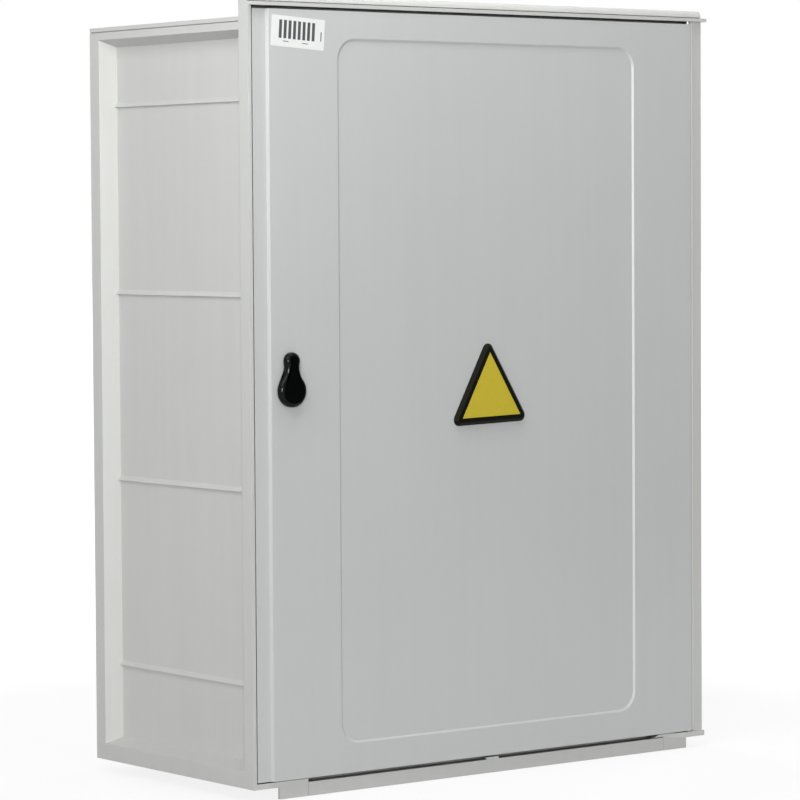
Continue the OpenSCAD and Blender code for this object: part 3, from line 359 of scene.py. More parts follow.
@dataclass(frozen=True)
class PressedPolyester(Finish):
    """Glass-fibre polyester out of a hot press, with flow marks and painted shade deep in its joints."""

    flow: float = 0.012
    flow_scale: float = 55.0
    joint_reach: float = 0.014
    joint_shade: float = 0.1
    joint_span: tuple[float, float] = (0.1, 0.42)

    def pattern(self, recipe: Recipe) -> Socket:
        """Adds upright flow marks and painted shade in the joints to the usual pattern.

        Args:
            recipe: tree to build in.

        Returns:
            A socket of values around 1.
        """
        plain = Finish.pattern(self, recipe)
        streaks = recipe.noise(self.flow_scale, 4.0, Grain.UPRIGHT.value)
        marks = recipe.spread(streaks, -self.flow, self.flow)
        # Painted shade: the colour darkens deep in joints and recesses, by how open each spot lies.
        painted_shade = recipe.spread(recipe.openness(self.joint_reach), self.joint_shade, 1.0, *self.joint_span)
        unshaded = joined(recipe.tree, Join.SUM, plain, marks)
        return joined(recipe.tree, Join.PRODUCT, unshaded, painted_shade)


@dataclass(frozen=True)
class ClearPane:
    """Clear plastic pane with faint wipe marks."""

    name: str
    tint: Colour = (0.92, 0.95, 0.95)
    wipe_scale: float = 60.0
    wipe_gloss: tuple[float, float] = (0.02, 0.09)
    bending: float = 1.3

    def make(self) -> bpy.types.Material:
        """Builds the material.

        Returns:
            The finished material.
        """
        recipe = Recipe(self.name)
        shader = recipe.shader
        wipes = recipe.noise(self.wipe_scale, 4.0, Grain.LENGTHWISE.value)
        recipe.link(recipe.spread(wipes, *self.wipe_gloss), shader.inputs["Roughness"])
        shader.inputs["Base Color"].default_value = (*self.tint, 1.0)
        shader.inputs["Transmission Weight"].default_value = 1.0
        shader.inputs["IOR"].default_value = self.bending
        return recipe.material


# The lighter edge colour of both polyesters is a painted highlight along the moulded edges and slopes.
SHELL = PressedPolyester("pressed_polyester", linear(204, 205, 202), 0.44, mottle=0.014, mottle_scale=4.0,
                         speckle=0.012, grain_scale=330.0, grain_strength=0.16, edge_radius=0.0009,
                         edge_wear_and_highlight=0.16, edge_colour=linear(226, 227, 224))
DOOR = PressedPolyester("door_polyester", linear(200, 202, 201), 0.37, mottle=0.014, mottle_scale=3.0,
                        speckle=0.012, grain_scale=330.0, grain_strength=0.14, edge_radius=0.0009,
                        edge_wear_and_highlight=0.2, edge_colour=linear(228, 230, 228), flow=0.008)
COVER_BLACK = Finish("glossy_black", linear(8, 10, 9), 0.13, mottle=0.1, speckle=0.15, grain_scale=150.0,
                     grain_depth=0.00005, grain_strength=0.15, edge_wear_and_highlight=0.02, specular=0.12)
# The plaque's olive edge colour is a painted highlight on its bevels.
PLAQUE_BLACK = Finish("plaque_black", linear(15, 16, 7), 0.42, mottle=0.1, speckle=0.2, grain_scale=900.0,
                      grain_strength=0.3, edge_wear_and_highlight=0.05, edge_colour=linear(60, 62, 42), specular=0.08)
PLAQUE_YELLOW = Finish("plaque_yellow", linear(203, 184, 54), 0.42, mottle=0.03, speckle=0.05,
                       grain_scale=700.0, grain_strength=0.2, edge_wear_and_highlight=0.1,
                       edge_colour=linear(226, 206, 96), specular=0.25)
RUBBER = Finish("seal_rubber", linear(30, 30, 30), 0.8, mottle=0.12, speckle=0.2, grain_scale=1200.0,
                grain_strength=0.5, edge_wear_and_highlight=0.05, edge_colour=linear(90, 90, 88), specular=0.3)
ZINC = Finish("zinc_plate", linear(196, 197, 190), 0.36, 1.0, mottle=0.06, mottle_scale=60.0, speckle=0.06,
              grain_scale=900.0, grain_depth=0.00003, edge_radius=0.0002, edge_wear_and_highlight=0.3,
              edge_colour=linear(226, 226, 220))
STEEL = Finish("bare_steel", linear(186, 188, 190), 0.3, 1.0, mottle=0.05, mottle_scale=40.0, speckle=0.04,
               grain=Grain.UPRIGHT, grain_scale=1400.0, grain_depth=0.00002, edge_radius=0.0002,
               edge_wear_and_highlight=0.3, edge_colour=linear(222, 224, 226))
BOARD = Finish("board_laminate", linear(172, 174, 172), 0.55, mottle=0.03, speckle=0.06,
               speckle_scale=500.0, grain=Grain.LENGTHWISE, grain_scale=900.0, grain_strength=0.3,
               edge_wear_and_highlight=0.3, edge_colour=linear(140, 124, 98))
METER_CASE = Finish("meter_case", linear(226, 226, 221), 0.4, mottle=0.015, speckle=0.015,
                    grain_scale=1100.0, grain_strength=0.3, edge_wear_and_highlight=0.2, edge_colour=linear(240, 240, 236))
GEAR_GREY = Finish("gear_grey", linear(142, 146, 148), 0.45, mottle=0.02, speckle=0.03, grain_scale=1100.0,
                   grain_strength=0.35, edge_wear_and_highlight=0.2, edge_colour=linear(178, 182, 184))
DISPLAY = Finish("display_grey", linear(150, 160, 140), 0.3, mottle=0.02, speckle=0.03, grain_scale=1500.0,
                 grain_strength=0.1, edge_wear_and_highlight=0.1)
BUTTON_BLUE = Finish("button_blue", linear(40, 82, 140), 0.28, mottle=0.04, speckle=0.05,
                     grain_scale=1500.0, grain_strength=0.2, edge_radius=0.0004, edge_wear_and_highlight=0.2,
                     edge_colour=linear(96, 130, 180))
BLACK_PLASTIC = Finish("black_plastic", linear(34, 34, 34), 0.45, mottle=0.08, speckle=0.12,
                       grain_scale=1300.0, grain_strength=0.4, edge_wear_and_highlight=0.12,
                       edge_colour=linear(84, 84, 84))
CERAMIC = Finish("glazed_ceramic", linear(230, 226, 212), 0.14, mottle=0.02, speckle=0.03,
                 speckle_scale=1600.0, grain_scale=90.0, grain_strength=0.08, edge_radius=0.0008,
                 edge_wear_and_highlight=0.1, coat=0.4, edge_colour=linear(240, 238, 230))
BRASS = Finish("plain_brass", linear(206, 170, 96), 0.3, 1.0, mottle=0.08, mottle_scale=40.0, speckle=0.05,
               grain=Grain.LENGTHWISE, grain_scale=1200.0, grain_depth=0.00003, edge_radius=0.0003,
               edge_wear_and_highlight=0.3, edge_colour=linear(232, 204, 140))
PAPER = Finish("label_paper", linear(236, 237, 236), 0.6, mottle=0.01, speckle=0.02, speckle_scale=2600.0,
               grain_scale=2600.0, grain_depth=0.00003, edge_radius=0.0001, edge_wear_and_highlight=0.05)
INK = Finish("print_ink", linear(74, 75, 77), 0.6, mottle=0.08, speckle=0.2, speckle_scale=3000.0,
             grain_scale=2600.0, grain_depth=0.00002, edge_radius=0.0001, edge_wear_and_highlight=0.0)
# Painted shade: the dark colour stands for the shade inside the screw recesses.
RECESS_SHADE = Finish("recess_painted_shade", linear(40, 40, 38), 0.6, 0.6, mottle=0.1, speckle=0.2, grain_scale=2000.0,
                edge_radius=0.0001, edge_wear_and_highlight=0.1, edge_colour=linear(120, 120, 116))
PANE = ClearPane("clear_pane")

NODE_FINISHES: dict[Finish | ClearPane, tuple[str, ...]] = {
    SHELL: ("back_panel", "side_panel_left", "side_panel_right", "roof_panel", "floor_panel", "front_frame",
            "vent_strip"),
    DOOR: ("door_shell",),
    COVER_BLACK: ("lock_cover",),
    PLAQUE_BLACK: ("plaque_base",),
    PLAQUE_YELLOW: ("plaque_face",),
    RUBBER: ("door_seal", "cable_grommets"),
    ZINC: ("panel_screws", "frame_screws", "panel_standoffs", "panel_bolts", "din_rail", "rail_screws",
           "lock_nut", "cam_plate", "cam_screw", "bar_screws"),
    STEEL: ("hinge_pins", "rod_keepers", "lock_barrel", "lock_spindle", "rod_upper", "rod_lower",
            "cover_pin"),
    BOARD: ("mounting_panel",),
    METER_CASE: ("meter_base", "meter_cover", "switch_body"),
    GEAR_GREY: ("meter_terminal_cover", "fuse_bases", "terminal_block"),
    DISPLAY: ("meter_display",),
    BUTTON_BLUE: ("meter_button",),
    BLACK_PLASTIC: ("rod_guides", "switch_toggle"),
    CERAMIC: ("fuse_links", "bar_insulators"),
    BRASS: ("meter_screws", "terminal_screws", "earth_bar"),
    PANE: ("meter_window",),
}


class FinishShelf:
    """Makes each finish once and hands it out."""

    def __init__(self) -> None:
        """Starts with an empty shelf."""
        self.made: dict[str, bpy.types.Material] = {}

    def get(self, finish: Finish | ClearPane) -> bpy.types.Material:
        """Gives the material of a finish.

        Args:
            finish: finish to look up.

        Returns:
            Its material, made on first use.
        """
        if finish.name not in self.made:
            self.made[finish.name] = finish.make()
        return self.made[finish.name]

    def paint(self, piece: Piece, finish: Finish | ClearPane) -> None:
        """Gives a piece one finish all over."""
        piece.data.materials.clear()
        piece.data.materials.append(self.get(finish))


class Bench:
    """Hand steps shared by the modelled pieces."""

    along = 0.9
    level_play = 1e-6

    @staticmethod
    def clear() -> None:
        """Leaves edit mode and drops the selection."""
        if bpy.context.object is not None and bpy.context.object.mode != "OBJECT":
            bpy.ops.object.mode_set(mode="OBJECT")
        bpy.ops.object.select_all(action="DESELECT")

    @staticmethod
    def block(name: str, size: Point) -> Piece:
        """Adds a block at the origin.

        Args:
            name: name of the piece.
            size: its three edges.

        Returns:
            The new object, in object mode.
        """
        Bench.clear()
        bpy.ops.mesh.primitive_cube_add(size=1.0)
        piece = bpy.context.object
        piece.name = name
        bpy.ops.object.mode_set(mode="EDIT")
        bpy.ops.mesh.select_all(action="SELECT")
        bpy.ops.transform.resize(value=size)
        bpy.ops.object.mode_set(mode="OBJECT")
        return piece

    @staticmethod
    def card(name: str, width: float, height: float, thick: float, corner: float) -> Piece:
        """Models a flat card with round corners, its face towards -Y and its back in the plane y = 0.

        Args:
            name: name of the piece.
            width: size along X.
            height: size along Z.
            thick: thickness.
            corner: corner radius.

        Returns:
            The new object, in object mode.
        """
        Bench.clear()
        bpy.ops.mesh.primitive_plane_add(size=1.0, rotation=(math.pi / 2, 0.0, 0.0))
        piece = bpy.context.object
        piece.name = name
        bpy.ops.object.transform_apply(location=True, rotation=True, scale=True)
        bpy.ops.object.mode_set(mode="EDIT")
        bpy.ops.mesh.select_all(action="SELECT")
        bpy.ops.transform.resize(value=(width, 1.0, height))
        bpy.ops.mesh.bevel(offset=corner, segments=5, affect="VERTICES")
        bpy.ops.mesh.select_all(action="SELECT")
        bpy.ops.mesh.extrude_region_move(TRANSFORM_OT_translate={"value": (0.0, -thick, 0.0)})
        bpy.ops.mesh.select_all(action="SELECT")
        bpy.ops.mesh.normals_make_consistent(inside=False)
        bpy.ops.object.mode_set(mode="OBJECT")
        return piece

    @staticmethod
    def soften(piece: Piece, width: float) -> None:
        """Rounds every edge of a piece with an applied bevel.

        Args:
            piece: piece to round.
            width: bevel width.
        """
        Bench.clear()
        piece.select_set(True)
        bpy.context.view_layer.objects.active = piece
        bevel = piece.modifiers.new("edge", "BEVEL")
        bevel.width = width
        bevel.segments = 2
        bevel.limit_method = "ANGLE"
        bpy.ops.object.modifier_apply(modifier=bevel.name)

    @staticmethod
    def cross(name: str, arm: float, wide: float, deep: float) -> Piece:
        """Models a cross-shaped driver recess in the X-Z plane.

        Args:
            name: name of the piece.
            arm: length from tip to tip.
            wide: width of an arm.
            deep: thickness.

        Returns:
            The new object, in object mode.
        """
        piece = Bench.block(name, (wide, deep, wide))
        bpy.ops.object.mode_set(mode="EDIT")
        reach = (arm - wide) / 2
        for axis, sign in ((0, 1), (0, -1), (2, 1), (2, -1)):
            Bench.pick_faces(piece, axis, sign)
            step = [0.0, 0.0, 0.0]
            step[axis] = sign * reach
            bpy.ops.mesh.extrude_region_move(TRANSFORM_OT_translate={"value": step})
        bpy.ops.object.mode_set(mode="OBJECT")
        return piece

    @staticmethod
    def pick_faces(piece: Piece, axis: int, sign: int) -> None:
        """Selects the faces that point along one axis and lie furthest out.

        Args:
            piece: piece in edit mode.
            axis: 0, 1 or 2.
            sign: 1 or -1.
        """
        bpy.ops.mesh.select_mode(type="FACE")
        bpy.ops.mesh.select_all(action="DESELECT")
        bpy.ops.object.mode_set(mode="OBJECT")
        faces = [face for face in piece.data.polygons if face.normal[axis] * sign > Bench.along]
        far = max(face.center[axis] * sign for face in faces)
        for face in faces:
            face.select = face.center[axis] * sign > far - Bench.level_play
        bpy.ops.object.mode_set(mode="EDIT")

    @staticmethod
    def settle(piece: Piece, place: Matrix) -> Piece:
        """Moves a piece to its place and leaves the object itself at the origin.

        Args:
            piece: piece to move.
            place: its place in the shared frame.

        Returns:
            The same piece.
        """
        Bench.clear()
        piece.matrix_world = place
        piece.select_set(True)
        bpy.context.view_layer.objects.active = piece
        bpy.ops.object.transform_apply(location=True, rotation=True, scale=True)
        return piece

    @staticmethod
    def repeat(piece: Piece, places: list[Matrix]) -> Piece:
        """Copies a piece to several places and joins the copies.

        Args:
            piece: model of the repeated shape, at the origin.
            places: where the copies go.

        Returns:
            One piece that holds every copy.
        """
        copies = []
        for place in places[1:]:
            twin = piece.copy()
            twin.data = piece.data.copy()
            bpy.context.collection.objects.link(twin)
            copies.append(Bench.settle(twin, place))
        Bench.settle(piece, places[0])
        Bench.clear()
        for twin in copies:
            twin.select_set(True)
        piece.select_set(True)
        bpy.context.view_layer.objects.active = piece
        if copies:
            bpy.ops.object.join()
        return piece


def at(x: float, y: float, z: float, turn: Point = (0.0, 0.0, 0.0)) -> Matrix:
    """Gives a place in the shared frame.

    Args:
        x: place along X.
        y: place along Y.
        z: place along Z.
        turn: turn about the three axes, in degrees.

    Returns:
        The place as a matrix.
    """
    angles = Euler([math.radians(angle) for angle in turn])
    return Matrix.Translation((x, y, z)) @ angles.to_matrix().to_4x4()


@dataclass
class PaperLabel:
    """Plain paper label on the door, with evenly spaced bars and short rules."""

    centre_x: float = -0.3028
    centre_z: float = 0.4588
    width: float = 0.0815
    height: float = 0.0382
    thick: float = 0.00018
    corner: float = 0.0012
    turn: float = 3.6
    ink_thick: float = 0.00004
    ink_corner: float = 0.0001
    bars: int = 8
    bar_start: float = 0.0118
    bar_pitch: float = 0.0072
    bar_wide: float = 0.0043
    bar_high: float = 0.0226
    bar_rise: float = 0.0026
    side_rule: tuple[float, float] = (0.0014, 0.0118)
    side_spots: tuple[tuple[float, float], ...] = ((0.437, -0.0022),)
    foot_rule: tuple[float, float] = (0.0085, 0.0009)
    foot_spots: tuple[tuple[float, float], ...] = ((-0.22, -0.0122), (0.14, -0.0128))

    def build(self, shelf: FinishShelf, face_y: float) -> list[Piece]:
        """Models the label and its print.

        Args:
            shelf: finishes.
            face_y: plane of the door's main face.

        Returns:
            The pieces.
        """
        place = at(self.centre_x, face_y, self.centre_z, (0.0, self.turn, 0.0))
        sheet = Bench.card("door_label", self.width, self.height, self.thick, self.corner)
        Bench.settle(sheet, place)
        shelf.paint(sheet, PAPER)
        first = self.bar_start - self.width / 2 + self.bar_wide / 2
        bars = self.printed("label_bars", (self.bar_wide, self.bar_high), place,
                            [(first + step * self.bar_pitch, self.bar_rise) for step in range(self.bars)])
        side = self.printed("label_side_rule", self.side_rule, place,
                            [(self.width * share, rise) for share, rise in self.side_spots])
        foot = self.printed("label_foot_rules", self.foot_rule, place,
                            [(self.width * share, rise) for share, rise in self.foot_spots])
        for piece in (bars, side, foot):
            shelf.paint(piece, INK)
        return [sheet, bars, side, foot]

    def printed(self, name: str, size: tuple[float, float], place: Matrix,
                spots: list[tuple[float, float]]) -> Piece:
        """Prints one mark at several spots of the label.

        Args:
            name: name of the piece.
            size: width and height of the mark.
            place: place of the label.
            spots: middle of each mark on the label.

        Returns:
            The joined marks.
        """
        mark = Bench.card(name, size[0], size[1], self.ink_thick, self.ink_corner)
        return Bench.repeat(mark, [place @ at(x, -self.thick, z) for x, z in spots])


@dataclass
class ScrewRecesses:
    """Driver recesses in the heads of the screws that show, as thin marks whose dark colour is painted
    shade.
    """

    sink_arm: float = 0.0046
    head_arm: float = 0.0032
    bar_slot: float = 0.0088
    terminal_slot: float = 0.0056
    meter_slot: float = 0.0064
    slot_wide: float = 0.0009
    slot_edge: float = 0.00008
    deep: float = 0.0003
    sunk: float = 0.00014
    head_turn: float = 37.0
    head_reach: float = 0.009
    flush_reach: float = 0.012
    flush_play: float = 1e-5

    def build(self, shelf: FinishShelf) -> list[Piece]:
        """Models the recesses from the places of the screws.

        Args:
            shelf: finishes.

        Returns:
            The pieces.
        """
        made = [
            self.crosses("panel_screw_recesses", self.sink_arm, self.back_places() + self.floor_places()),
            self.crosses("frame_screw_recesses", self.head_arm, self.islands("frame_screws")),
            self.slots("bar_screw_slots", self.bar_slot, self.islands("bar_screws")),
            self.slots("terminal_screw_slots", self.terminal_slot, self.islands("terminal_screws")),
            self.slots("meter_screw_slots", self.meter_slot, self.islands("meter_screws")),
            self.crosses("rail_screw_recesses", self.head_arm, self.islands("rail_screws")),
        ]
        for piece in made:
            shelf.paint(piece, RECESS_SHADE)
        return made

    def crosses(self, name: str, arm: float, places: list[Matrix]) -> Piece:
        """Copies one cross to every place.

        Args:
            name: name of the piece.
            arm: length from tip to tip.
            places: places of the heads.

        Returns:
            The joined piece.
        """
        return Bench.repeat(Bench.cross(name, arm, self.slot_wide, self.deep), places)

    def slots(self, name: str, length: float, places: list[Matrix]) -> Piece:
        """Copies one slot to every place.

        Args:
            name: name of the piece.
            length: length of the slot.
            places: places of the heads.

        Returns:
            The joined piece.
        """
        slot = Bench.block(name, (length, self.deep, self.slot_wide))
        Bench.soften(slot, self.slot_edge)
        return Bench.repeat(slot, places)

    @staticmethod
    def middles(corners: list[Point], reach: float) -> list[Point]:
        """Gathers corners into heads and finds the middle of each.

        Args:
            corners: corners of all heads, each as two places in the heads' plane and a depth.
            reach: how far a head's corners lie from its first one.

        Returns:
            For each head the two middles and the least depth.
        """
        heads: dict[tuple[int, int], list[Point]] = {}
        for corner in corners:
            near = next((key for key in heads if abs(key[0] / 1000 - corner[0]) < reach
                         and abs(key[1] / 1000 - corner[1]) < reach), None)
            heads.setdefault(near or (round(corner[0] * 1000), round(corner[1] * 1000)), []).append(corner)
        return [((min(across) + max(across)) / 2, (min(along) + max(along)) / 2, min(depth))
                for across, along, depth in (zip(*head) for head in heads.values())]

    def islands(self, node: str) -> list[Matrix]:
        """Finds the head of every loose screw of a node, seen from the front.

        Args:
            node: name of the CAD node.

        Returns:
            A place at the middle of each head's face.
        """
        corners = [(spot.co.x, spot.co.z, spot.co.y) for spot in bpy.data.objects[node].data.vertices]
        return [at(x, y, z, (0.0, self.head_turn * count, 0.0))
                for count, (x, z, y) in enumerate(self.middles(corners, self.head_reach))]

    def back_places(self) -> list[Matrix]:
        """Gives the flush screws in the back, whose heads end in the plane y = 0."""
        return [at(x, -self.sunk, z) for x, z, _ in self.flush(1, 0.0)]

    def floor_places(self) -> list[Matrix]:
        """Gives the flush screws in the floor."""
        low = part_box("floor_panel")[0][2]
        return [at(x, y, low + self.sunk, (90.0, 0.0, 0.0)) for x, y, _ in self.flush(2, low)]

    def flush(self, axis: int, level: float) -> list[Point]:
        """Finds the flush screws whose faces lie on the outside along one axis.

        Args:
            axis: 1 for the back, 2 for the floor.
            level: where that outside lies.

        Returns:
            The middle of each head in the other two axes, and the level.
        """
        other = 3 - axis
        spots = [vertex.co for vertex in bpy.data.objects["panel_screws"].data.vertices]
        corners = [(spot.x, spot[other], level) for spot in spots
                   if abs(spot[axis] - level) <= self.flush_play]
        return self.middles(corners, self.flush_reach)


@dataclass
class MeterFace:
    """What can be read on the meter: counter drums with figures, and a bare plate."""

    drums: int = 6
    drum_pitch: float = 0.0135
    drum_width_share: float = 0.84
    drum_height_share: float = 1.5
    drum_thick: float = 0.0004
    drum_corner: float = 0.0012
    drum_edge: float = 0.0001
    figure_high: float = 0.0125
    figure_deep: float = 0.00006
    figure_step: int = 3
    plate_wide: float = 0.094
    plate_high: float = 0.022
    plate_thick: float = 0.0005
    plate_corner: float = 0.002
    plate_edge: float = 0.0002
    plate_rise_share: float = 0.115

    def build(self, shelf: FinishShelf) -> list[Piece]:
        """Models the counter and the bare plate.

        Args:
            shelf: finishes.

        Returns:
            The pieces.
        """
        low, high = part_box("meter_display")
        pane_low, pane_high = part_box("meter_window")
        cover_low, cover_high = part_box("meter_cover")
        middle_x = (low[0] + high[0]) / 2
        window_z = (pane_low[2] + pane_high[2]) / 2
        face_y = low[1]
        drum = Bench.card("counter_drums", self.drum_pitch * self.drum_width_share,
                          self.figure_high * self.drum_height_share, self.drum_thick, self.drum_corner)
        Bench.soften(drum, self.drum_edge)
        start = middle_x - (self.drums - 1) / 2 * self.drum_pitch
        columns = [start + step * self.drum_pitch for step in range(self.drums)]
        drums = Bench.repeat(drum, [at(x, face_y, window_z) for x in columns])
        shelf.paint(drums, BLACK_PLASTIC)
        figures = [self.figure(str(step * self.figure_step % 10), x, face_y - self.drum_thick, window_z)
                   for step, x in enumerate(columns)]
        Bench.clear()
        for piece in figures:
            piece.select_set(True)
        bpy.context.view_layer.objects.active = figures[0]
        bpy.ops.object.join()
        figures[0].name = "counter_figures"
        shelf.paint(figures[0], PAPER)
        plate = Bench.card("meter_plate", self.plate_wide, self.plate_high, self.plate_thick,
                           self.plate_corner)
        Bench.soften(plate, self.plate_edge)
        plate_z = cover_low[2] + (cover_high[2] - cover_low[2]) * self.plate_rise_share
        Bench.settle(plate, at(middle_x, cover_low[1], plate_z))
        shelf.paint(plate, PAPER)
        return [drums, figures[0], plate]

    def figure(self, text: str, x: float, y: float, z: float) -> Piece:
        """Models one figure of the counter.

        Args:
            text: the figure.
            x: middle along X.
            y: plane of the drum.
            z: middle along Z.

        Returns:
            The figure as a mesh in its place.
        """
        Bench.clear()
        bpy.ops.object.text_add()
        piece = bpy.context.object
        piece.data.body = text
        piece.data.align_x = "CENTER"
        piece.data.align_y = "CENTER"
        piece.data.size = self.figure_high
        piece.data.extrude = self.figure_deep
        bpy.ops.object.convert(target="MESH")
        return Bench.settle(bpy.context.object, at(x, y, z, (90.0, 0.0, 0.0)))


@dataclass
class SwitchMarks:
    """Bar and ring that mark the two places of the main switch."""

    size: float = 0.0042
    line: float = 0.0009
    rise: float = 0.0152
    thick: float = 0.0002
    corner: float = 0.0002
    ring_flat: float = 0.4

    def build(self, shelf: FinishShelf) -> list[Piece]:
        """Models the marks on the switch's nose.

        Args:
            shelf: finishes.

        Returns:
            The pieces.
        """
        low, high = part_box("switch_body")
        x = (low[0] + high[0]) / 2
        z = (low[2] + high[2]) / 2
        bar = Bench.card("switch_on_mark", self.line, self.size, self.thick, self.corner)
        Bench.settle(bar, at(x, low[1], z + self.rise))
        Bench.clear()
        bpy.ops.mesh.primitive_torus_add(major_radius=self.size / 2, minor_radius=self.line / 2,
                                         major_segments=32, minor_segments=8,
                                         rotation=(math.pi / 2, 0.0, 0.0))
        ring = bpy.context.object
        ring.name = "switch_off_mark"
        bpy.ops.object.transform_apply(location=True, rotation=True, scale=True)
        bpy.ops.object.mode_set(mode="EDIT")
        bpy.ops.mesh.select_all(action="SELECT")
        bpy.ops.transform.resize(value=(1.0, self.ring_flat, 1.0))
        bpy.ops.object.mode_set(mode="OBJECT")
        Bench.settle(ring, at(x, low[1], z - self.rise))
        for piece in (bar, ring):
            shelf.paint(piece, INK)
        return [bar, ring]


@dataclass
class TerminalMarkers:
    """Bare white marker strips clipped on the nose of each rail terminal."""

    wide: float = 0.0085
    high: float = 0.0062
    thick: float = 0.0009
    corner: float = 0.0006
    edge: float = 0.0002
    pitch: float = 0.012
    row: float = 0.012

    def build(self, shelf: FinishShelf) -> list[Piece]:
        """Models the strips.

        Args:
            shelf: finishes.

        Returns:
            The pieces.
        """
        low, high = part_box("terminal_block")
        count = round((high[0] - low[0]) / self.pitch)
        pitch = (high[0] - low[0]) / count
        strip = Bench.card("terminal_markers", self.wide, self.high, self.thick, self.corner)
        Bench.soften(strip, self.edge)
        spots = [at(low[0] + (step + 0.5) * pitch, low[1], (low[2] + high[2]) / 2 + sign * self.row)
                 for step in range(count) for sign in (-1, 1)]
        strips = Bench.repeat(strip, spots)
        shelf.paint(strips, PAPER)
        return [strips]


@dataclass(frozen=True)
class Lamp:
    """Soft lamp with a flat face."""

    name: str
    place: Point
    target: Point
    width: float
    height: float
    watts: float

    def build(self) -> None:
        """Hangs the lamp and turns it to its target."""
        data = bpy.data.lights.new(self.name, "AREA")
        data.energy = self.watts
        data.shape = "RECTANGLE"
        data.size = self.width
        data.size_y = self.height
        lamp = bpy.data.objects.new(self.name, data)
        bpy.context.collection.objects.link(lamp)
        lamp.location = self.place
        lamp.rotation_euler = (Vector(self.target) - Vector(self.place)).to_track_quat("-Z", "Y").to_euler()
        lamp.visible_camera = False


MIDDLE = (0.0, -0.3, 0.0)
KEY_BOX = Lamp("key_box", (-5.872, -7.055, 0.941), MIDDLE, 2.0, 2.0, 388.0)
NEAR_BOX = Lamp("near_box", (-1.232, -0.748, 1.018), (0.0, -0.3, 0.1), 0.8, 0.8, 9.6)
TOP_BOX = Lamp("top_box", (-0.1, -0.6, 2.3), MIDDLE, 1.2, 1.2, 16.0)
HOOD_BOX = Lamp("hood_box", (-0.25, -0.75, 1.6), (0.0, -0.36, 0.45), 0.5, 0.5, 5.0)
FILL_BOX = Lamp("fill_box", (1.6, -4.0, 0.6), MIDDLE, 2.0, 2.0, 9.0)
HINGE_BOX = Lamp("hinge_box", (4.6, 1.2, 1.3), MIDDLE, 2.0, 2.0, 110.0)
BACK_BOX = Lamp("back_box", (0.8, 4.4, 1.7), MIDDLE, 2.0, 2.0, 110.0)


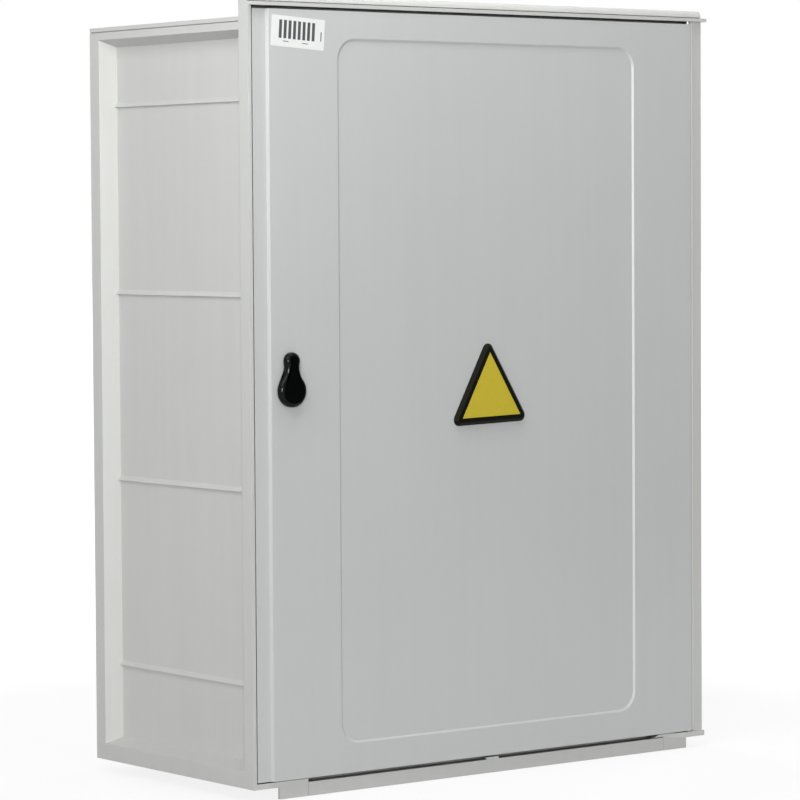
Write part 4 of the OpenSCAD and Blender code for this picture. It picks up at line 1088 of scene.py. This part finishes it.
@dataclass
class Studio:
    """White surround, soft lamps, pale floor and the photo's camera."""

    lens: float = 161.1
    yaw: float = 37.71
    pitch: float = 2.91
    roll: float = -0.34
    eye: Point = (-2.9225, -3.9514, 0.2292)
    ambient: float = 0.14
    glow: float = 1.18
    glow_share: float = 0.72
    shadow_reach: tuple[float, float] = (0.7, 1.9)
    lamps: tuple[Lamp, ...] = (KEY_BOX, NEAR_BOX, TOP_BOX, HOOD_BOX, FILL_BOX, HINGE_BOX, BACK_BOX)
    card_place: Point = (1.05, -1.95, -0.08)
    card_target: Point = (-0.16, -0.37, 0.0)
    card_size: tuple[float, float] = (1.5, 1.3)
    card_tone: float = 0.01
    floor_size: float = 60.0
    floor_tone: float = 0.5
    floor_roughness: float = 0.9
    sensor: float = 36.0
    sight: float = 200.0

    def build(self, floor_z: float) -> None:
        """Sets up the surround.

        Args:
            floor_z: height of the floor.
        """
        bpy.context.scene.view_settings.view_transform = "Standard"
        self.surround()
        self.floor(floor_z)
        for lamp in self.lamps:
            lamp.build()
        self.card()
        self.camera()

    def card(self) -> None:
        """Hangs a dark card that shows in the glossy pieces only."""
        Bench.clear()
        bpy.ops.mesh.primitive_plane_add(size=1.0)
        flag = bpy.context.object
        flag.name = "dark_card"
        flag.scale = (*self.card_size, 1.0)
        flag.location = self.card_place
        sightline = Vector(self.card_target) - Vector(self.card_place)
        flag.rotation_euler = sightline.to_track_quat("Z", "Y").to_euler()
        material = bpy.data.materials.new("dark_card")
        material.use_nodes = True
        shader = material.node_tree.nodes["Principled BSDF"]
        shader.inputs["Base Color"].default_value = (self.card_tone,) * 3 + (1.0,)
        shader.inputs["Specular IOR Level"].default_value = 0.0
        flag.data.materials.append(material)
        flag.visible_camera = flag.visible_diffuse = flag.visible_shadow = flag.visible_transmission = False
        flag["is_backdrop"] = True

    def surround(self) -> None:
        """Makes a world that is white to look at and lights the object at a plain level."""
        world = bpy.data.worlds.new("white_surround")
        bpy.context.scene.world = world
        world.use_nodes = True
        tree = world.node_tree
        tree.nodes.clear()
        out = tree.nodes.new("ShaderNodeOutputWorld")
        mixer = tree.nodes.new("ShaderNodeMixShader")
        tree.links.new(self.seen(tree), mixer.inputs[0])
        for slot, strength in ((1, self.ambient), (2, 1.0)):
            light = tree.nodes.new("ShaderNodeBackground")
            light.inputs["Color"].default_value = (1.0, 1.0, 1.0, 1.0)
            light.inputs["Strength"].default_value = strength
            tree.links.new(light.outputs[0], mixer.inputs[slot])
        tree.links.new(mixer.outputs[0], out.inputs["Surface"])

    def seen(self, tree: bpy.types.NodeTree) -> Socket:
        """Adds a value that is 1 for rays that show the surround.

        Args:
            tree: tree to build in.

        Returns:
            The value's socket.
        """
        path = tree.nodes.new("ShaderNodeLightPath")
        last = path.outputs["Is Camera Ray"]
        for name in ("Is Glossy Ray", "Is Transmission Ray"):
            last = joined(tree, Join.LARGER, last, path.outputs[name])
        return last

    def floor(self, height: float) -> None:
        """Lays a pale floor that keeps a soft shadow.

        Args:
            height: height of the floor.
        """
        Bench.clear()
        bpy.ops.mesh.primitive_plane_add(size=self.floor_size, location=(0.0, 0.0, height))
        ground = bpy.context.object
        ground.name = "pale_floor"
        material = bpy.data.materials.new("pale_floor")
        material.use_nodes = True
        tree = material.node_tree
        shader = tree.nodes["Principled BSDF"]
        shader.inputs["Base Color"].default_value = (self.floor_tone,) * 3 + (1.0,)
        shader.inputs["Roughness"].default_value = self.floor_roughness
        shader.inputs["Specular IOR Level"].default_value = 0.0
        glow = tree.nodes.new("ShaderNodeEmission")
        glow.inputs["Strength"].default_value = self.glow
        coords = tree.nodes.new("ShaderNodeTexCoord")
        away = tree.nodes.new("ShaderNodeVectorMath")
        away.operation = "LENGTH"
        fade = tree.nodes.new("ShaderNodeMapRange")
        for key, number in zip(("From Min", "From Max", "To Min"), (*self.shadow_reach, self.glow_share)):
            fade.inputs[key].default_value = number
        tree.links.new(coords.outputs["Object"], away.inputs[0])
        tree.links.new(away.outputs["Value"], fade.inputs["Value"])
        share = joined(tree, Join.PRODUCT, self.seen(tree), fade.outputs["Result"])
        mixer = tree.nodes.new("ShaderNodeMixShader")
        tree.links.new(share, mixer.inputs[0])
        tree.links.new(shader.outputs[0], mixer.inputs[1])
        tree.links.new(glow.outputs[0], mixer.inputs[2])
        tree.links.new(mixer.outputs[0], tree.nodes["Material Output"].inputs["Surface"])
        ground.data.materials.append(material)
        ground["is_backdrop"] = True

    def camera(self) -> None:
        """Sets the camera at the photo's viewing angle."""
        yaw, pitch, roll = (math.radians(angle) for angle in (self.yaw, self.pitch, self.roll))
        turn = Matrix.Rotation(roll, 3, "Y") @ Matrix.Rotation(pitch, 3, "X") @ Matrix.Rotation(yaw, 3, "Z")
        right, ahead, up = turn
        data = bpy.data.cameras.new("camera")
        data.sensor_width = self.sensor
        data.lens = self.lens
        data.clip_end = self.sight
        eye = bpy.data.objects.new("camera", data)
        bpy.context.collection.objects.link(eye)
        axes = Matrix((right, up, -ahead)).transposed().to_4x4()
        eye.matrix_world = Matrix.Translation(self.eye) @ axes
        bpy.context.scene.camera = eye


@dataclass
class MeterCabinet:
    """The whole cabinet: dressed CAD pieces and the modelled small pieces."""

    label: PaperLabel
    recesses: ScrewRecesses
    meter: MeterFace
    marks: SwitchMarks
    markers: TerminalMarkers

    def dress(self, nodes: dict[str, Piece], shelf: FinishShelf) -> None:
        """Gives every CAD piece its finish.

        Args:
            nodes: CAD pieces by name.
            shelf: finishes.
        """
        for finish, names in NODE_FINISHES.items():
            for name in names:
                shelf.paint(nodes[name], finish)
                LOG.info("dressed %s", name)

    def build(self, shelf: FinishShelf) -> None:
        """Models the small pieces and fixes each to its body.

        Args:
            shelf: finishes.
        """
        face_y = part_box("door_shell")[0][1]
        self.fix(self.label.build(shelf, face_y), "door")
        self.fix(self.recesses.build(shelf), "cabinet")
        self.fix(self.meter.build(shelf), "cabinet")
        self.fix(self.marks.build(shelf), "cabinet")
        self.fix(self.markers.build(shelf), "cabinet")

    def fix(self, pieces: list[Piece], body: str) -> None:
        """Lets pieces ride on a body.

        Args:
            pieces: pieces to fix.
            body: body that carries them.
        """
        for piece in pieces:
            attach(piece, body)
            LOG.info("built %s on %s", piece.name, body)


def main() -> None:
    """Loads the solids, dresses them, adds the small pieces and sets the studio."""
    logging.basicConfig(level=logging.INFO, format="%(name)s: %(message)s")
    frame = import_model()
    solid_box = [list(corner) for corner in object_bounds()]
    shelf = FinishShelf()
    cabinet = MeterCabinet(PaperLabel(), ScrewRecesses(), MeterFace(), SwitchMarks(), TerminalMarkers())
    cabinet.dress(frame["nodes"], shelf)
    cabinet.build(shelf)
    Studio().build(solid_box[0][2] - FLOOR_GAP)


if __name__ == "__main__":
    main()
